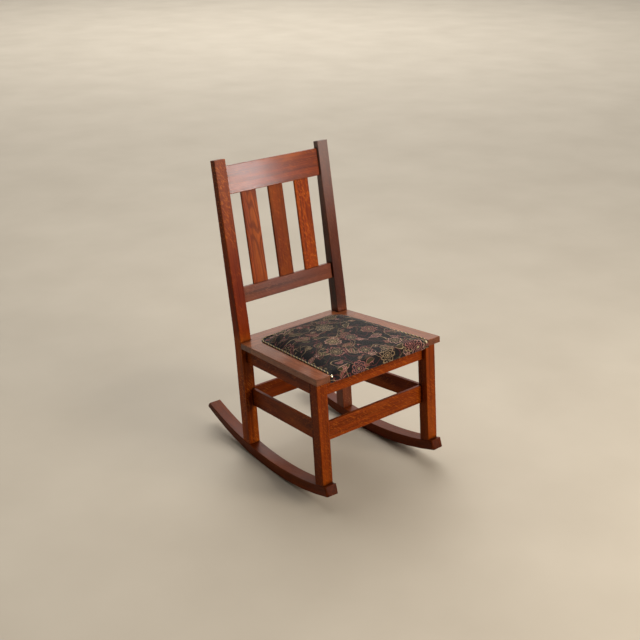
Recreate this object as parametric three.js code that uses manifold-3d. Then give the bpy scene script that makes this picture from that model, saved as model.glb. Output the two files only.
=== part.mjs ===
// Armless oak rocking chair: four legs on two curved rockers, a raked back with three
// slats, and an upholstered panel let into a flat wooden seat surround.
//
// Millimetres, +Z up. The pieces are drawn in the chair's own frame, with the legs upright:
//   x  across the chair, 0 on its middle plane, plus towards the right of someone facing it
//   y  backwards, 0 on the front faces of the front legs
//   z  upwards, 0 at the lowest point of the rockers' arc
// The whole chair is then leaned back to the attitude in which it rests on the floor.

import * as THREE from "three";
import { mergeVertices } from "three/addons/utils/BufferGeometryUtils.js";
import Module from "manifold-3d";

const wasm = await Module();
wasm.setup();
const { degToRad } = THREE.MathUtils;

// Fits
const jointGap = 0.3; // left between pieces that bear on each other
const tenonClearance = 0.3; // all round a tenon in its mortise
const pinClearance = 0.3; // all round a screw or a nail in its hole
const ease = 1.2; // chamfer on the long edges of every board
const overrun = 40; // how far a cut runs past the piece it cuts
const weldTolerance = 1e-4;

// Frame
const frontWidth = 408; // over the outer faces of the front legs
const rearTaper = 28; // the frame is narrower than that over the rear posts
const frameDepth = 347; // front face of a front leg to front face of a rear post
const legSize = 33; // square front leg
const postWidth = 35;
const postDepth = 32; // rear post, below the bend
const postTopDepth = 20; // rear post, at its top
const seatHeight = 349; // top of the seat boards
const restTilt = degToRad(5.4); // how far the chair leans back at rest

// Rockers
const rockerWidth = 37;
const rockerHeight = 30; // at the lowest point of the arc
const rockerBottomRadius = 845;
const rockerTopFlare = 105; // the top arc's radius is larger by this
const arcVertexShare = 0.536; // place of the arc's lowest point along the frame's depth
const rockerAhead = 20; // of the front legs, along the bottom arc
const rockerBehind = 191; // of the rear posts
const restFacetAngle = degToRad(3.4); // the rocker rests on a flat centred at the rest tilt
const facetsAhead = 5; // flats in front of the one at rest
const facetsBehind = 6;
const topFacets = 20;
const rockerEndRound = 6; // radius of the upright corners at each end
const rockerEndTrim = 0.4; // planed off each sawn end
const stubWidth = 15; // tenon at the foot of a leg
const stubDepth = 20;
const stubLength = 14;

// Back
const bendHeight = 11; // where the posts start to rake, above the seat boards
const bendReach = 55; // half the length of post that the bend is spread over
const rake = degToRad(5.9);
const postRise = 486; // bend to post top, along the rake
const railThickness = 14;
const railSetback = 7; // back rails' front faces behind the posts' front faces
const crestLow = 391; // along the rake, from the bend
const crestHeight = 76;
const lowerRailLow = 93;
const lowerRailHeight = 44;
const railTenonThickness = 7;
const railTenonShoulder = 7;
const railTenonLength = 20;
const slatCount = 3;
const slatWidth = 48.5;
const slatThickness = 7;
const slatHousing = 12; // how far a slat runs into each rail
const slatNames = ["left", "centre", "right"];

// Aprons and stretchers
const apronHeight = 44;
const apronThickness = 19;
const frontRailRecess = 1; // aprons and stretchers in from the legs' inner faces
const stretcherLow = 156.5;
const stretcherHeight = 51;
const stretcherThickness = 10.5;
const tenonLength = 20;
const tenonShoulder = 4;
const tenonThicknessShare = 0.5; // of the rail's own thickness
const rearRailBack = 6; // rear apron's and stretcher's front faces behind the posts' front

// Seat boards
const seatThickness = 18;
const seatFrontOverhang = 12; // ahead of the front legs
const seatSideOverhang = 8; // outside the front legs, at the front edge
const seatRearOverhang = 4; // behind the rear posts
const boardJointAhead = 49; // of the rear posts: where the side boards meet the rear board
const boardTenonWidth = 26;
const boardTenonLength = 12;
const boardTenonThickness = 6;
const rebateDepth = 6; // step that the webbing and the covering are tacked in
const rebateWidth = 13;
const frontBoardBack = 38; // rear edge of the board under the front roll
const frontBoardRecess = 9; // its front edge, ahead of the legs' front faces

// Upholstered panel
const boardFrontWidth = 43; // of a side board outside the panel, at the seat's front edge
const boardRearWidth = 46; // from the panel's rear edge to the outer face of a rear post
const panelRearAhead = 14; // of the rear posts
const panelCorner = 34; // radius of the rear corners
const webbingThickness = 1.4;
const webbingCount = 3; // each way
const webbingPitchShare = 0.31; // of the opening that the straps cross
const webbingWidthShare = 0.74; // of the closer pitch
const webbingFrontEnd = 8;
const burlapThickness = 0.8;
const padInset = 1.5; // edge of the stuffing in from the covering's edge
const padEdge = 0.9; // stuffing left at the panel's edge
const padCrown = 22; // rise of the stuffing in the middle
const crownMargin = 7.8; // flat edge before the rise, clear of the trim
const crownReach = 60; // distance over which it rises
const crownCorner = 70; // radius of the rise's rear corners, which are drawn down
const frontCrownShare = 0.42; // of the crown, at the front roll
const rollReach = 12; // how far the roll runs back from the front face
const rollDrop = 11;
const frontBoardRound = 8; // radius on the front board's upper front edge
const padFrontDepth = 2.2; // stuffing in front of the front board
const coverThickness = 1.5;
const coverHang = 3; // covering's front edge below the seat boards
const padRows = 13; // stations over the top, rear to front
const rowCrowding = 1.5; // draws the rows together towards the rear edge
const rollRows = 5;
const panelColumns = 12; // each side of the middle
const gimpWidth = 5;
const gimpHeight = 2.6;
const gimpSteps = 64;

// Corner blocks and fasteners
const blockSide = 52;
const blockHeight = 24;
const blockSnip = 7;
const screwRadius = 2.1;
const screwHeadRadius = 4;
const screwHeadDepth = 3;
const screwPoint = 5;
const screwSink = 1; // heads below the surface
const rockerScrewLength = 48;
const apronScrewLength = 25;
const seatScrewLength = 34;
const apronScrewShare = 0.68; // along a block's side, from its corner
const seatScrewShare = 0.33;
const apronScrewSink = 6; // heads inside the block's slanted face
const nailRadius = 4;
const nailDome = 2.4;
const nailShankRadius = 0.9;
const nailShankLength = 11;
const nailInset = 6; // from the panel's side edge
const nailAngleShare = 0.5; // of the roll's quarter turn
const roundSides = 12;
const domeSteps = 4;
const gimpSides = 3;

// Places that follow from the sizes above
const rearWidth = frontWidth - rearTaper;
const legInner = frontWidth / 2 - legSize;
const postInner = rearWidth / 2 - postWidth;
const legCentre = new THREE.Vector2(frontWidth / 2 - legSize / 2, legSize / 2);
const postCentre = new THREE.Vector2(rearWidth / 2 - postWidth / 2, frameDepth + postDepth / 2);
const seatUnder = seatHeight - seatThickness;
const apronLow = seatUnder - apronHeight;
const rebateFloor = seatHeight - rebateDepth;
const webbingMid = rebateFloor + jointGap + webbingThickness / 2;
const webbingSway = (webbingThickness + jointGap) / 2;
const burlapLow = webbingMid + webbingSway + webbingThickness / 2 + jointGap;
const padLow = burlapLow + burlapThickness + jointGap;
const rockerTopRadius = rockerBottomRadius + rockerTopFlare;
const boardJointBack = frameDepth - boardJointAhead;
const panelFrontHalf = frontWidth / 2 + seatSideOverhang - boardFrontWidth;
const panelRearHalf = rearWidth / 2 - boardRearWidth;
const panelRearBack = frameDepth - panelRearAhead;
const panelMargin = gimpWidth + 3 * jointGap; // flat edge that the trim lies on
const rollBack = rollReach - padFrontDepth - frontBoardRecess; // where the roll begins

// Forms

const basis = {
  x: new THREE.Matrix4().set(0, 0, 1, 0, 1, 0, 0, 0, 0, 1, 0, 0, 0, 0, 0, 1),
  y: new THREE.Matrix4().set(1, 0, 0, 0, 0, 0, -1, 0, 0, 1, 0, 0, 0, 0, 0, 1),
  z: new THREE.Matrix4(),
};

// A closed geometry as a solid that can be joined and cut.
function solid(geometry) {
  geometry.deleteAttribute("normal");
  geometry.deleteAttribute("uv");
  const welded = mergeVertices(geometry, weldTolerance);
  const faces = [];
  const index = welded.index.array;
  for (let i = 0; i < index.length; i += 3) {
    const [a, b, c] = index.subarray(i, i + 3);
    if (a !== b && b !== c && c !== a) faces.push(a, b, c);
  }
  return new wasm.Manifold(
    new wasm.Mesh({
      numProp: 3,
      vertProperties: welded.attributes.position.array,
      triVerts: new Uint32Array(faces),
    }),
  );
}

// An outline through points given as [across, up] pairs.
function outline(points) {
  return new THREE.Shape(points.map(([a, b]) => new THREE.Vector2(a, b)));
}

// A rectangle with its four corners taken off.
function easedRectangle(left, low, right, high) {
  return outline([
    [left + ease, low],
    [right - ease, low],
    [right, low + ease],
    [right, high - ease],
    [right - ease, high],
    [left + ease, high],
    [left, high - ease],
    [left, low + ease],
  ]);
}

// An outline carried along one axis: (y, z) along x, (x, z) along y or (x, y) along z.
function extrude(shape, axis, from, to, chamfer = 0) {
  const geometry = new THREE.ExtrudeGeometry(shape, {
    depth: to - from - 2 * chamfer,
    bevelEnabled: chamfer > 0,
    bevelThickness: chamfer,
    bevelSize: chamfer,
    bevelOffset: -chamfer,
    bevelSegments: 1,
    curveSegments: roundSides,
  });
  geometry.translate(0, 0, (axis === "y" ? -to : from) + chamfer);
  return solid(geometry.applyMatrix4(basis[axis]));
}

function box(left, front, low, right, back, high) {
  const geometry = new THREE.BoxGeometry(right - left, back - front, high - low);
  geometry.translate((left + right) / 2, (front + back) / 2, (low + high) / 2);
  return solid(geometry);
}

// A profile of [radius, height] pairs turned about the z axis.
function turned(profile) {
  const points = profile.map(([r, h]) => new THREE.Vector2(r, h));
  const geometry = new THREE.LatheGeometry(points, roundSides);
  return solid(geometry.rotateX(Math.PI / 2));
}

// Moves a solid so that its z axis points along a direction from a place.
function aimed(body, place, direction) {
  const turn = new THREE.Quaternion().setFromUnitVectors(
    new THREE.Vector3(0, 0, 1),
    direction.clone().normalize(),
  );
  const matrix = new THREE.Matrix4().makeRotationFromQuaternion(turn).setPosition(place);
  return body.transform(matrix.elements);
}

// The closed skin between two grids of points of the same size.
function skin(outer, inner) {
  const rows = outer.length;
  const columns = outer[0].length;
  const points = [...outer.flat(), ...inner.flat()];
  const at = (layer, row, column) => (layer * rows + row) * columns + column;
  const faces = [];
  const quad = (a, b, c, d) => faces.push(a, c, b, a, d, c);
  for (let r = 0; r + 1 < rows; r++) {
    for (let c = 0; c + 1 < columns; c++) {
      quad(at(0, r, c), at(0, r, c + 1), at(0, r + 1, c + 1), at(0, r + 1, c));
      quad(at(1, r, c), at(1, r + 1, c), at(1, r + 1, c + 1), at(1, r, c + 1));
    }
    quad(at(0, r, 0), at(0, r + 1, 0), at(1, r + 1, 0), at(1, r, 0));
    const end = columns - 1;
    quad(at(0, r, end), at(1, r, end), at(1, r + 1, end), at(0, r + 1, end));
  }
  for (let c = 0; c + 1 < columns; c++) {
    quad(at(0, 0, c), at(1, 0, c), at(1, 0, c + 1), at(0, 0, c + 1));
    const end = rows - 1;
    quad(at(0, end, c), at(0, end, c + 1), at(1, end, c + 1), at(1, end, c));
  }
  const geometry = new THREE.BufferGeometry().setFromPoints(points);
  geometry.setIndex(faces);
  return solid(geometry);
}

const joined = (...bodies) => bodies.reduce((whole, body) => whole.add(body));
const cut = (body, ...tools) => tools.reduce((left, tool) => left.subtract(tool), body);

// A tenon box grown by the clearance that its mortise leaves.
function boxes(left, front, low, right, back, high) {
  const c = tenonClearance;
  return {
    tenon: box(left, front, low, right, back, high),
    mortise: box(left - c, front - c, low - c, right + c, back + c, high + c),
  };
}

// Rockers

const arcVertexBack = frameDepth * arcVertexShare;
const rearFace = frameDepth + postDepth;
const frontEndAngle = Math.asin((-rockerAhead - arcVertexBack) / rockerBottomRadius);
const rearEndAngle = Math.asin((rearFace + rockerBehind - arcVertexBack) / rockerBottomRadius);

// A point on an arc whose lowest point is at a height, square above the arc's vertex.
function arcPoint(radius, vertexHeight, angle) {
  const y = arcVertexBack + radius * Math.sin(angle);
  return [y - legCentre.y, vertexHeight + radius * (1 - Math.cos(angle))];
}

function rockerTopHeight(y) {
  const back = y - arcVertexBack;
  return rockerHeight + rockerTopRadius - Math.sqrt(rockerTopRadius ** 2 - back ** 2);
}

function rockerBottomHeight(y) {
  const back = y - arcVertexBack;
  return rockerBottomRadius - Math.sqrt(rockerBottomRadius ** 2 - back ** 2);
}

// The angles of the corners between the flats that make up the bottom arc.
function bottomAngles() {
  const restFront = restTilt - restFacetAngle / 2;
  const restRear = restTilt + restFacetAngle / 2;
  const angles = [];
  for (let i = 0; i <= facetsAhead; i++) {
    angles.push(frontEndAngle + ((restFront - frontEndAngle) * i) / facetsAhead);
  }
  for (let i = 0; i <= facetsBehind; i++) {
    angles.push(restRear + ((rearEndAngle - restRear) * i) / facetsBehind);
  }
  return angles;
}

// The end faces are square to the bottom arc.
function topAngle(bottomAngle) {
  const reach = (rockerBottomRadius - rockerHeight) * Math.sin(bottomAngle);
  return Math.asin(reach / rockerTopRadius);
}

function rockerTopPoints(lift) {
  const points = [];
  const from = topAngle(rearEndAngle);
  const to = topAngle(frontEndAngle);
  for (let i = 0; i <= topFacets; i++) {
    const angle = from + ((to - from) * i) / topFacets;
    points.push(arcPoint(rockerTopRadius, rockerHeight + lift, angle));
  }
  return points;
}

// Turns a solid drawn along y at the front leg's centre to the line of the right rocker.
function onRockerLine(body) {
  const slant = Math.atan2(legCentre.x - postCentre.x, postCentre.y - legCentre.y);
  const matrix = new THREE.Matrix4().makeRotationZ(slant).setPosition(legCentre.x, legCentre.y, 0);
  return body.transform(matrix.elements);
}

function rockerBlank() {
  const points = rockerTopPoints(0);
  points.push(...bottomAngles().map((angle) => arcPoint(rockerBottomRadius, 0, angle)));
  const half = rockerWidth / 2;
  const blank = extrude(outline(points.reverse()), "x", -half, half, ease);
  const ends = [roundedEnd(frontEndAngle, 0), roundedEnd(rearEndAngle, Math.PI)];
  return onRockerLine(ends.reduce((left, end) => left.intersect(end), blank));
}

// The space inward of an end face with rounded upright corners. The turn is a half turn at
// the rear end.
function roundedEnd(angle, turn) {
  const half = rockerWidth / 2;
  const start = rockerEndTrim + rockerEndRound;
  const shape = new THREE.Shape();
  shape.moveTo(-half, rockerBottomRadius);
  shape.lineTo(-half, start);
  shape.quadraticCurveTo(-half, rockerEndTrim, rockerEndRound - half, rockerEndTrim);
  shape.lineTo(half - rockerEndRound, rockerEndTrim);
  shape.quadraticCurveTo(half, rockerEndTrim, half, start);
  shape.lineTo(half, rockerBottomRadius);
  const space = extrude(shape, "z", -rockerBottomRadius, rockerBottomRadius);
  const [y, z] = arcPoint(rockerBottomRadius, 0, angle);
  const matrix = new THREE.Matrix4().makeRotationX(angle + turn).setPosition(0, y, z);
  return space.transform(matrix.elements);
}

// All that lies below the rocker's top, which shapes the shoulder at the foot of a leg.
function belowRockerTop() {
  const points = rockerTopPoints(jointGap);
  const [frontY] = points[points.length - 1];
  const [rearY] = points[0];
  points.push([frontY, -overrun], [rearY, -overrun]);
  return onRockerLine(extrude(outline(points.reverse()), "x", -overrun, overrun));
}

// Stub tenon under a leg, and its mortise in the rocker.
function stub(centre) {
  const top = rockerTopHeight(centre.y);
  return boxes(
    centre.x - stubWidth / 2,
    centre.y - stubDepth / 2,
    top - stubLength,
    centre.x + stubWidth / 2,
    centre.y + stubDepth / 2,
    top + stubLength,
  );
}

// Screws and nails

function screwProfile(length, grow, headRun) {
  return [
    [0, -headRun],
    [screwHeadRadius + grow, -headRun],
    [screwHeadRadius + grow, 0],
    [screwRadius + grow, screwHeadDepth],
    [screwRadius + grow, length - screwPoint],
    [0, length + grow],
  ];
}

// A screw with its head at a place, and the hole that it needs.
function screw(length, place, direction) {
  const shape = screwProfile(length, 0, 0).slice(1);
  shape[0] = [0, 0];
  shape.splice(1, 0, [screwHeadRadius, 0]);
  const hole = screwProfile(length, pinClearance, overrun);
  return {
    body: aimed(turned(shape), place, direction),
    hole: aimed(turned(hole), place, direction),
  };
}

const upwards = new THREE.Vector3(0, 0, 1);

function rockerScrew(centre) {
  const place = new THREE.Vector3(centre.x, centre.y, rockerBottomHeight(centre.y) + screwSink);
  return screw(rockerScrewLength, place, upwards);
}

// Aprons and stretchers, drawn for the right side of the chair

// x of the inner faces of the side apron and the side stretcher.
function sideInner(y) {
  const share = (y - legSize) / (frameDepth - legSize);
  return frontRailRecess + legInner + (postInner - legInner) * share;
}

// Side rails have their tenons in the upper half, front and rear rails in the lower half,
// so that both can be long in the same leg.
function tenonSpan(low, height, upper) {
  const middle = low + height / 2;
  const half = tenonShoulder / 2;
  return upper
    ? [middle + half, low + height - tenonShoulder]
    : [low + tenonShoulder, middle - half];
}

function sideRail(low, height, thickness) {
  const front = legSize + jointGap;
  const back = frameDepth - jointGap;
  const plan = outline([
    [sideInner(front - overrun), front - overrun],
    [sideInner(front - overrun) + thickness, front - overrun],
    [sideInner(back + overrun) + thickness, back + overrun],
    [sideInner(back + overrun), back + overrun],
  ]);
  const blank = extrude(plan, "z", low, low + height, ease)
    .trimByPlane([0, 1, 0], front)
    .trimByPlane([0, -1, 0], -back);
  const [tenonLow, tenonHigh] = tenonSpan(low, height, true);
  const half = (thickness * tenonThicknessShare) / 2;
  const ends = [
    [legSize, legSize - tenonLength, legSize + tenonLength],
    [frameDepth, frameDepth - tenonLength, frameDepth + tenonLength],
  ].map(([face, near, far]) => {
    const middle = sideInner(face) + thickness / 2;
    return boxes(middle - half, near, tenonLow, middle + half, far, tenonHigh);
  });
  return {
    body: joined(blank, ...ends.map((end) => end.tenon)),
    mortises: ends.map((end) => end.mortise),
  };
}

// A rail across the chair between x = -reach and x = reach.
function crossRail(reach, front, low, height, thickness) {
  const edge = reach - jointGap;
  const section = easedRectangle(front, low, front + thickness, low + height);
  const blank = extrude(section, "x", -edge, edge);
  const [tenonLow, tenonHigh] = tenonSpan(low, height, false);
  const half = (thickness * tenonThicknessShare) / 2;
  const middle = front + thickness / 2;
  const right = boxes(
    reach - tenonLength,
    middle - half,
    tenonLow,
    reach + tenonLength,
    middle + half,
    tenonHigh,
  );
  return {
    body: joined(blank, right.tenon, right.tenon.mirror([1, 0, 0])),
    mortises: [right.mortise],
  };
}

const frontRailFront = (thickness) => legSize - frontRailRecess - thickness;
const rearRailFront = frameDepth + rearRailBack;

const aprons = {
  side: sideRail(apronLow, apronHeight - jointGap, apronThickness),
  front: crossRail(
    legInner,
    frontRailFront(apronThickness),
    apronLow,
    apronHeight - jointGap,
    apronThickness,
  ),
  rear: crossRail(postInner, rearRailFront, apronLow, apronHeight - jointGap, apronThickness),
};
const stretchers = {
  side: sideRail(stretcherLow, stretcherHeight, stretcherThickness),
  front: crossRail(
    legInner,
    frontRailFront(stretcherThickness),
    stretcherLow,
    stretcherHeight,
    stretcherThickness,
  ),
  rear: crossRail(
    postInner,
    rearRailFront,
    stretcherLow,
    stretcherHeight,
    stretcherThickness,
  ),
};

// Back rails and slats, drawn in the raked frame: y behind the posts' front faces and z up
// the rake, both from the point where the posts start to rake

const backPlace = new THREE.Matrix4()
  .makeRotationX(-rake)
  .setPosition(0, frameDepth, seatHeight + bendHeight);
const inBack = (body) => body.transform(backPlace.elements);

const slatFront = railSetback + (railThickness - slatThickness) / 2;
const slatGap = (2 * postInner - slatCount * slatWidth) / (slatCount + 1);

function slatBox(index, grow) {
  const left = -postInner + slatGap + index * (slatWidth + slatGap);
  const low = lowerRailLow + lowerRailHeight - slatHousing;
  return [left - grow, low - grow, left + slatWidth + grow, crestLow + slatHousing + grow];
}

function slat(index) {
  const [left, low, right, high] = slatBox(index, 0);
  const section = easedRectangle(left, slatFront, right, slatFront + slatThickness);
  return extrude(section, "z", low, high);
}

function slatHole(index) {
  const [left, low, right, high] = slatBox(index, tenonClearance);
  const front = slatFront - tenonClearance;
  const back = slatFront + slatThickness + tenonClearance;
  return box(left, front, low, right, back, high);
}

function backRail(low, height) {
  const edge = postInner - jointGap;
  const section = easedRectangle(railSetback, low, railSetback + railThickness, low + height);
  const middle = railSetback + railThickness / 2;
  const right = boxes(
    postInner - railTenonLength,
    middle - railTenonThickness / 2,
    low + railTenonShoulder,
    postInner + railTenonLength,
    middle + railTenonThickness / 2,
    low + height - railTenonShoulder,
  );
  let body = joined(extrude(section, "x", -edge, edge), right.tenon);
  body = body.add(right.tenon.mirror([1, 0, 0]));
  for (let i = 0; i < slatCount; i++) body = body.subtract(slatHole(i));
  return { body, mortise: inBack(right.mortise) };
}

const crest = backRail(crestLow, crestHeight);
const lowerRail = backRail(lowerRailLow, lowerRailHeight);

// Legs and posts

function frontLeg(screwHole) {
  const section = easedRectangle(legInner, 0, legInner + legSize, legSize);
  const foot = stub(legCentre);
  const shaft = extrude(section, "z", 0, seatUnder - jointGap).subtract(belowRockerTop());
  return cut(
    shaft.add(foot.tenon),
    ...aprons.side.mortises,
    ...aprons.front.mortises,
    ...stretchers.side.mortises,
    ...stretchers.front.mortises,
    screwHole,
  );
}

// The post's side view: upright to the bend, then raked, and tapered in depth.
function postOutline() {
  const raked = (rise, depth) => {
    const y = frameDepth + rise * Math.sin(rake) + depth * Math.cos(rake);
    return [y, seatHeight + bendHeight + rise * Math.cos(rake) - depth * Math.sin(rake)];
  };
  const bendZ = seatHeight + bendHeight;
  const rear = frameDepth + postDepth;
  const taper = (rise) => postDepth + ((postTopDepth - postDepth) * rise) / postRise;
  const shape = new THREE.Shape();
  shape.moveTo(frameDepth, 0);
  shape.lineTo(rear, 0);
  shape.lineTo(rear, bendZ - bendReach);
  shape.quadraticCurveTo(...raked(0, postDepth), ...raked(bendReach, taper(bendReach)));
  shape.lineTo(...raked(postRise, postTopDepth));
  shape.lineTo(...raked(postRise, 0));
  shape.lineTo(...raked(bendReach, 0));
  shape.quadraticCurveTo(frameDepth, bendZ, frameDepth, bendZ - bendReach);
  shape.closePath();
  return shape;
}

function rearPost(screwHole) {
  const blank = extrude(postOutline(), "x", postInner, postInner + postWidth, ease);
  const foot = stub(postCentre);
  return cut(
    blank.subtract(belowRockerTop()).add(foot.tenon),
    ...aprons.side.mortises,
    ...aprons.rear.mortises,
    ...stretchers.side.mortises,
    ...stretchers.rear.mortises,
    crest.mortise,
    lowerRail.mortise,
    screwHole,
  );
}

// Seat boards

// Half width of the upholstered panel, and x of the seat's outer edge.
function panelHalf(y) {
  const share = (y + seatFrontOverhang) / (panelRearBack + seatFrontOverhang);
  return panelFrontHalf + (panelRearHalf - panelFrontHalf) * share;
}

function seatOuter(y) {
  const front = frontWidth / 2 + seatSideOverhang;
  const share = (y + seatFrontOverhang) / (frameDepth + seatFrontOverhang);
  return front + (rearWidth / 2 - front) * share;
}

// The panel's plan between two y values with its rear corners rounded, grown or shrunk.
function panelPlan(front, grow) {
  const rear = panelRearBack + grow;
  const corner = panelCorner + grow;
  const start = rear - corner;
  const shape = new THREE.Shape();
  shape.moveTo(-panelHalf(front) - grow, front);
  shape.lineTo(panelHalf(front) + grow, front);
  shape.lineTo(panelHalf(start) + grow, start);
  shape.quadraticCurveTo(panelHalf(rear) + grow, rear, panelHalf(rear) + grow - corner, rear);
  shape.lineTo(corner - panelHalf(rear) - grow, rear);
  shape.quadraticCurveTo(-panelHalf(rear) - grow, rear, -panelHalf(start) - grow, start);
  shape.closePath();
  return shape;
}

const rebate = extrude(
  panelPlan(-overrun, jointGap),
  "z",
  rebateFloor,
  seatHeight + overrun,
);
const seatHole = extrude(
  panelPlan(frontBoardBack - rebateWidth, -rebateWidth),
  "z",
  seatUnder - overrun,
  seatHeight,
);

// Tenons at the rear ends of the side boards and at the ends of the front board.
const boardTenonLow = seatUnder + (rebateFloor - seatUnder - boardTenonThickness) / 2;
const boardTenonHigh = boardTenonLow + boardTenonThickness;

function sideBoardTenon() {
  const right = seatOuter(boardJointBack) - tenonShoulder - ease;
  return boxes(
    right - boardTenonWidth,
    boardJointBack - boardTenonLength,
    boardTenonLow,
    right,
    boardJointBack + boardTenonLength,
    boardTenonHigh,
  );
}

function frontBoardTenon() {
  const middle = (frontBoardBack - frontBoardRecess) / 2;
  const face = panelHalf(middle);
  return boxes(
    face - boardTenonLength,
    middle - boardTenonWidth / 2,
    boardTenonLow,
    face + boardTenonLength,
    middle + boardTenonWidth / 2,
    boardTenonHigh,
  );
}

// Space that the front board and the covering's front take out of the side boards.
function frontBoardBay() {
  const back = frontBoardBack + jointGap;
  const plan = outline([
    [-panelHalf(-overrun) - jointGap, -overrun],
    [panelHalf(-overrun) + jointGap, -overrun],
    [panelHalf(back) + jointGap, back],
    [-panelHalf(back) - jointGap, back],
  ]);
  return extrude(plan, "z", seatUnder - overrun, seatHeight + overrun);
}

function sideBoard(screwHoles) {
  const back = boardJointBack - jointGap;
  const plan = outline([
    [0, -seatFrontOverhang],
    [seatOuter(-seatFrontOverhang), -seatFrontOverhang],
    [seatOuter(back + overrun), back + overrun],
    [0, back + overrun],
  ]);
  const blank = extrude(plan, "z", seatUnder, seatHeight, ease).trimByPlane([0, -1, 0], -back);
  const shaped = cut(blank, rebate, seatHole, frontBoardBay()).add(sideBoardTenon().tenon);
  return cut(shaped, frontBoardTenon().mortise, ...screwHoles);
}

function rearBoard(screwHoles) {
  const front = boardJointBack;
  const rear = frameDepth + postDepth + seatRearOverhang;
  const notchFront = frameDepth - jointGap;
  const notchSide = postInner - jointGap;
  const plan = outline([
    [-seatOuter(front - overrun), front - overrun],
    [seatOuter(front - overrun), front - overrun],
    [seatOuter(notchFront), notchFront],
    [notchSide, notchFront],
    [notchSide, rear],
    [-notchSide, rear],
    [-notchSide, notchFront],
    [-seatOuter(notchFront), notchFront],
  ]);
  const blank = extrude(plan, "z", seatUnder, seatHeight, ease).trimByPlane([0, 1, 0], front);
  const { mortise } = sideBoardTenon();
  return cut(blank, rebate, seatHole, mortise, mortise.mirror([1, 0, 0]), ...screwHoles);
}

function frontBoard(nailHoles) {
  const front = -frontBoardRecess;
  const plan = outline([
    [-panelHalf(front), front],
    [panelHalf(front), front],
    [panelHalf(frontBoardBack), frontBoardBack],
    [-panelHalf(frontBoardBack), frontBoardBack],
  ]);
  const section = new THREE.Shape();
  section.moveTo(front, seatUnder);
  section.lineTo(frontBoardBack, seatUnder);
  section.lineTo(frontBoardBack, rebateFloor);
  section.lineTo(front + frontBoardRound, rebateFloor);
  section.quadraticCurveTo(front, rebateFloor, front, rebateFloor - frontBoardRound);
  section.closePath();
  const { tenon } = frontBoardTenon();
  const blank = extrude(plan, "z", seatUnder, rebateFloor).intersect(
    extrude(section, "x", -panelFrontHalf, panelFrontHalf),
  );
  return cut(joined(blank, tenon, tenon.mirror([1, 0, 0])), ...nailHoles);
}

// Corner blocks, right side: a triangle in the corner of two aprons with its tips cut off

function cornerBlock(atFront) {
  const sign = atFront ? 1 : -1;
  const face = atFront ? legSize - frontRailRecess : rearRailFront;
  const start = face + sign * jointGap;
  const reach = start + sign * blockSide;
  const inner = (y) => sideInner(y) - jointGap;
  const points = [
    [inner(start) - blockSnip, start],
    [inner(start) - blockSide, start],
    [inner(start) - blockSide, start + sign * blockSnip],
    [inner(reach) - blockSnip, reach],
    [inner(reach), reach],
    [inner(start + sign * blockSnip), start + sign * blockSnip],
  ];
  if (atFront) points.reverse();
  const high = seatUnder - jointGap;
  const blank = extrude(outline(points), "z", high - blockHeight, high);
  // One screw runs up into the seat board and one into each apron, their heads in pockets.
  const along = (share) => inner(start) - blockSide * share;
  const inwards = (share) => start + sign * blockSide * share;
  const seatScrew = screw(
    seatScrewLength,
    new THREE.Vector3(along(seatScrewShare), inwards(seatScrewShare), high - blockHeight + screwSink),
    upwards,
  );
  const level = high - blockHeight / 2;
  const short = 1 - apronScrewShare;
  const crossScrew = screw(
    apronScrewLength,
    new THREE.Vector3(along(apronScrewShare), inwards(short) - sign * apronScrewSink, level),
    new THREE.Vector3(0, -sign, 0),
  );
  const sideScrew = screw(
    apronScrewLength,
    new THREE.Vector3(along(short) + apronScrewSink, inwards(apronScrewShare), level),
    new THREE.Vector3(1, 0, 0),
  );
  const body = cut(blank, seatScrew.hole, crossScrew.hole, sideScrew.hole);
  return { body, seatScrew, crossScrew, sideScrew };
}

// Upholstery

// Columns of the panel's grid as shares of its half width, closer at the rounded corners.
function columnShares() {
  const corner = panelCorner / panelRearHalf;
  const inCorner = Math.round(panelColumns / 2);
  const right = [];
  for (let i = 1; i <= panelColumns - inCorner; i++) {
    right.push(((1 - corner) * i) / (panelColumns - inCorner));
  }
  for (let i = 1; i <= inCorner; i++) {
    right.push(1 - corner + corner * Math.sin((Math.PI / 2) * (i / inCorner)));
  }
  return [...right.map((share) => -share).reverse(), 0, ...right];
}

// y of the panel's rear edge in a column.
function rearEdge(share) {
  const straight = 1 - panelCorner / panelRearHalf;
  const into = Math.max(0, Math.abs(share) - straight) / (1 - straight);
  return panelRearBack - panelCorner * (1 - Math.sqrt(Math.max(0, 1 - into ** 2)));
}

const swell = (distance) => 1 - (1 - Math.min(Math.max(distance, 0) / crownReach, 1)) ** 3;

// Distance in from the panel's edge, on a plan with rounder rear corners than the panel's own.
function inFromEdge(share, y) {
  const spaces = [(1 - Math.abs(share)) * panelHalf(y), panelRearBack - y];
  const [across, back] = spaces.map((space) => Math.max(0, crownCorner - space));
  return across > 0 && back > 0 ? crownCorner - Math.hypot(across, back) : Math.min(...spaces);
}

// Height of the stuffing above its edge.
function crownAt(share, y) {
  const ahead = Math.min(1, Math.max(0, y) / (panelRearBack / 2));
  const front = frontCrownShare + (1 - frontCrownShare) * Math.sin((Math.PI / 2) * ahead);
  return padCrown * swell(inFromEdge(share, y) - crownMargin) * front;
}

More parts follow.
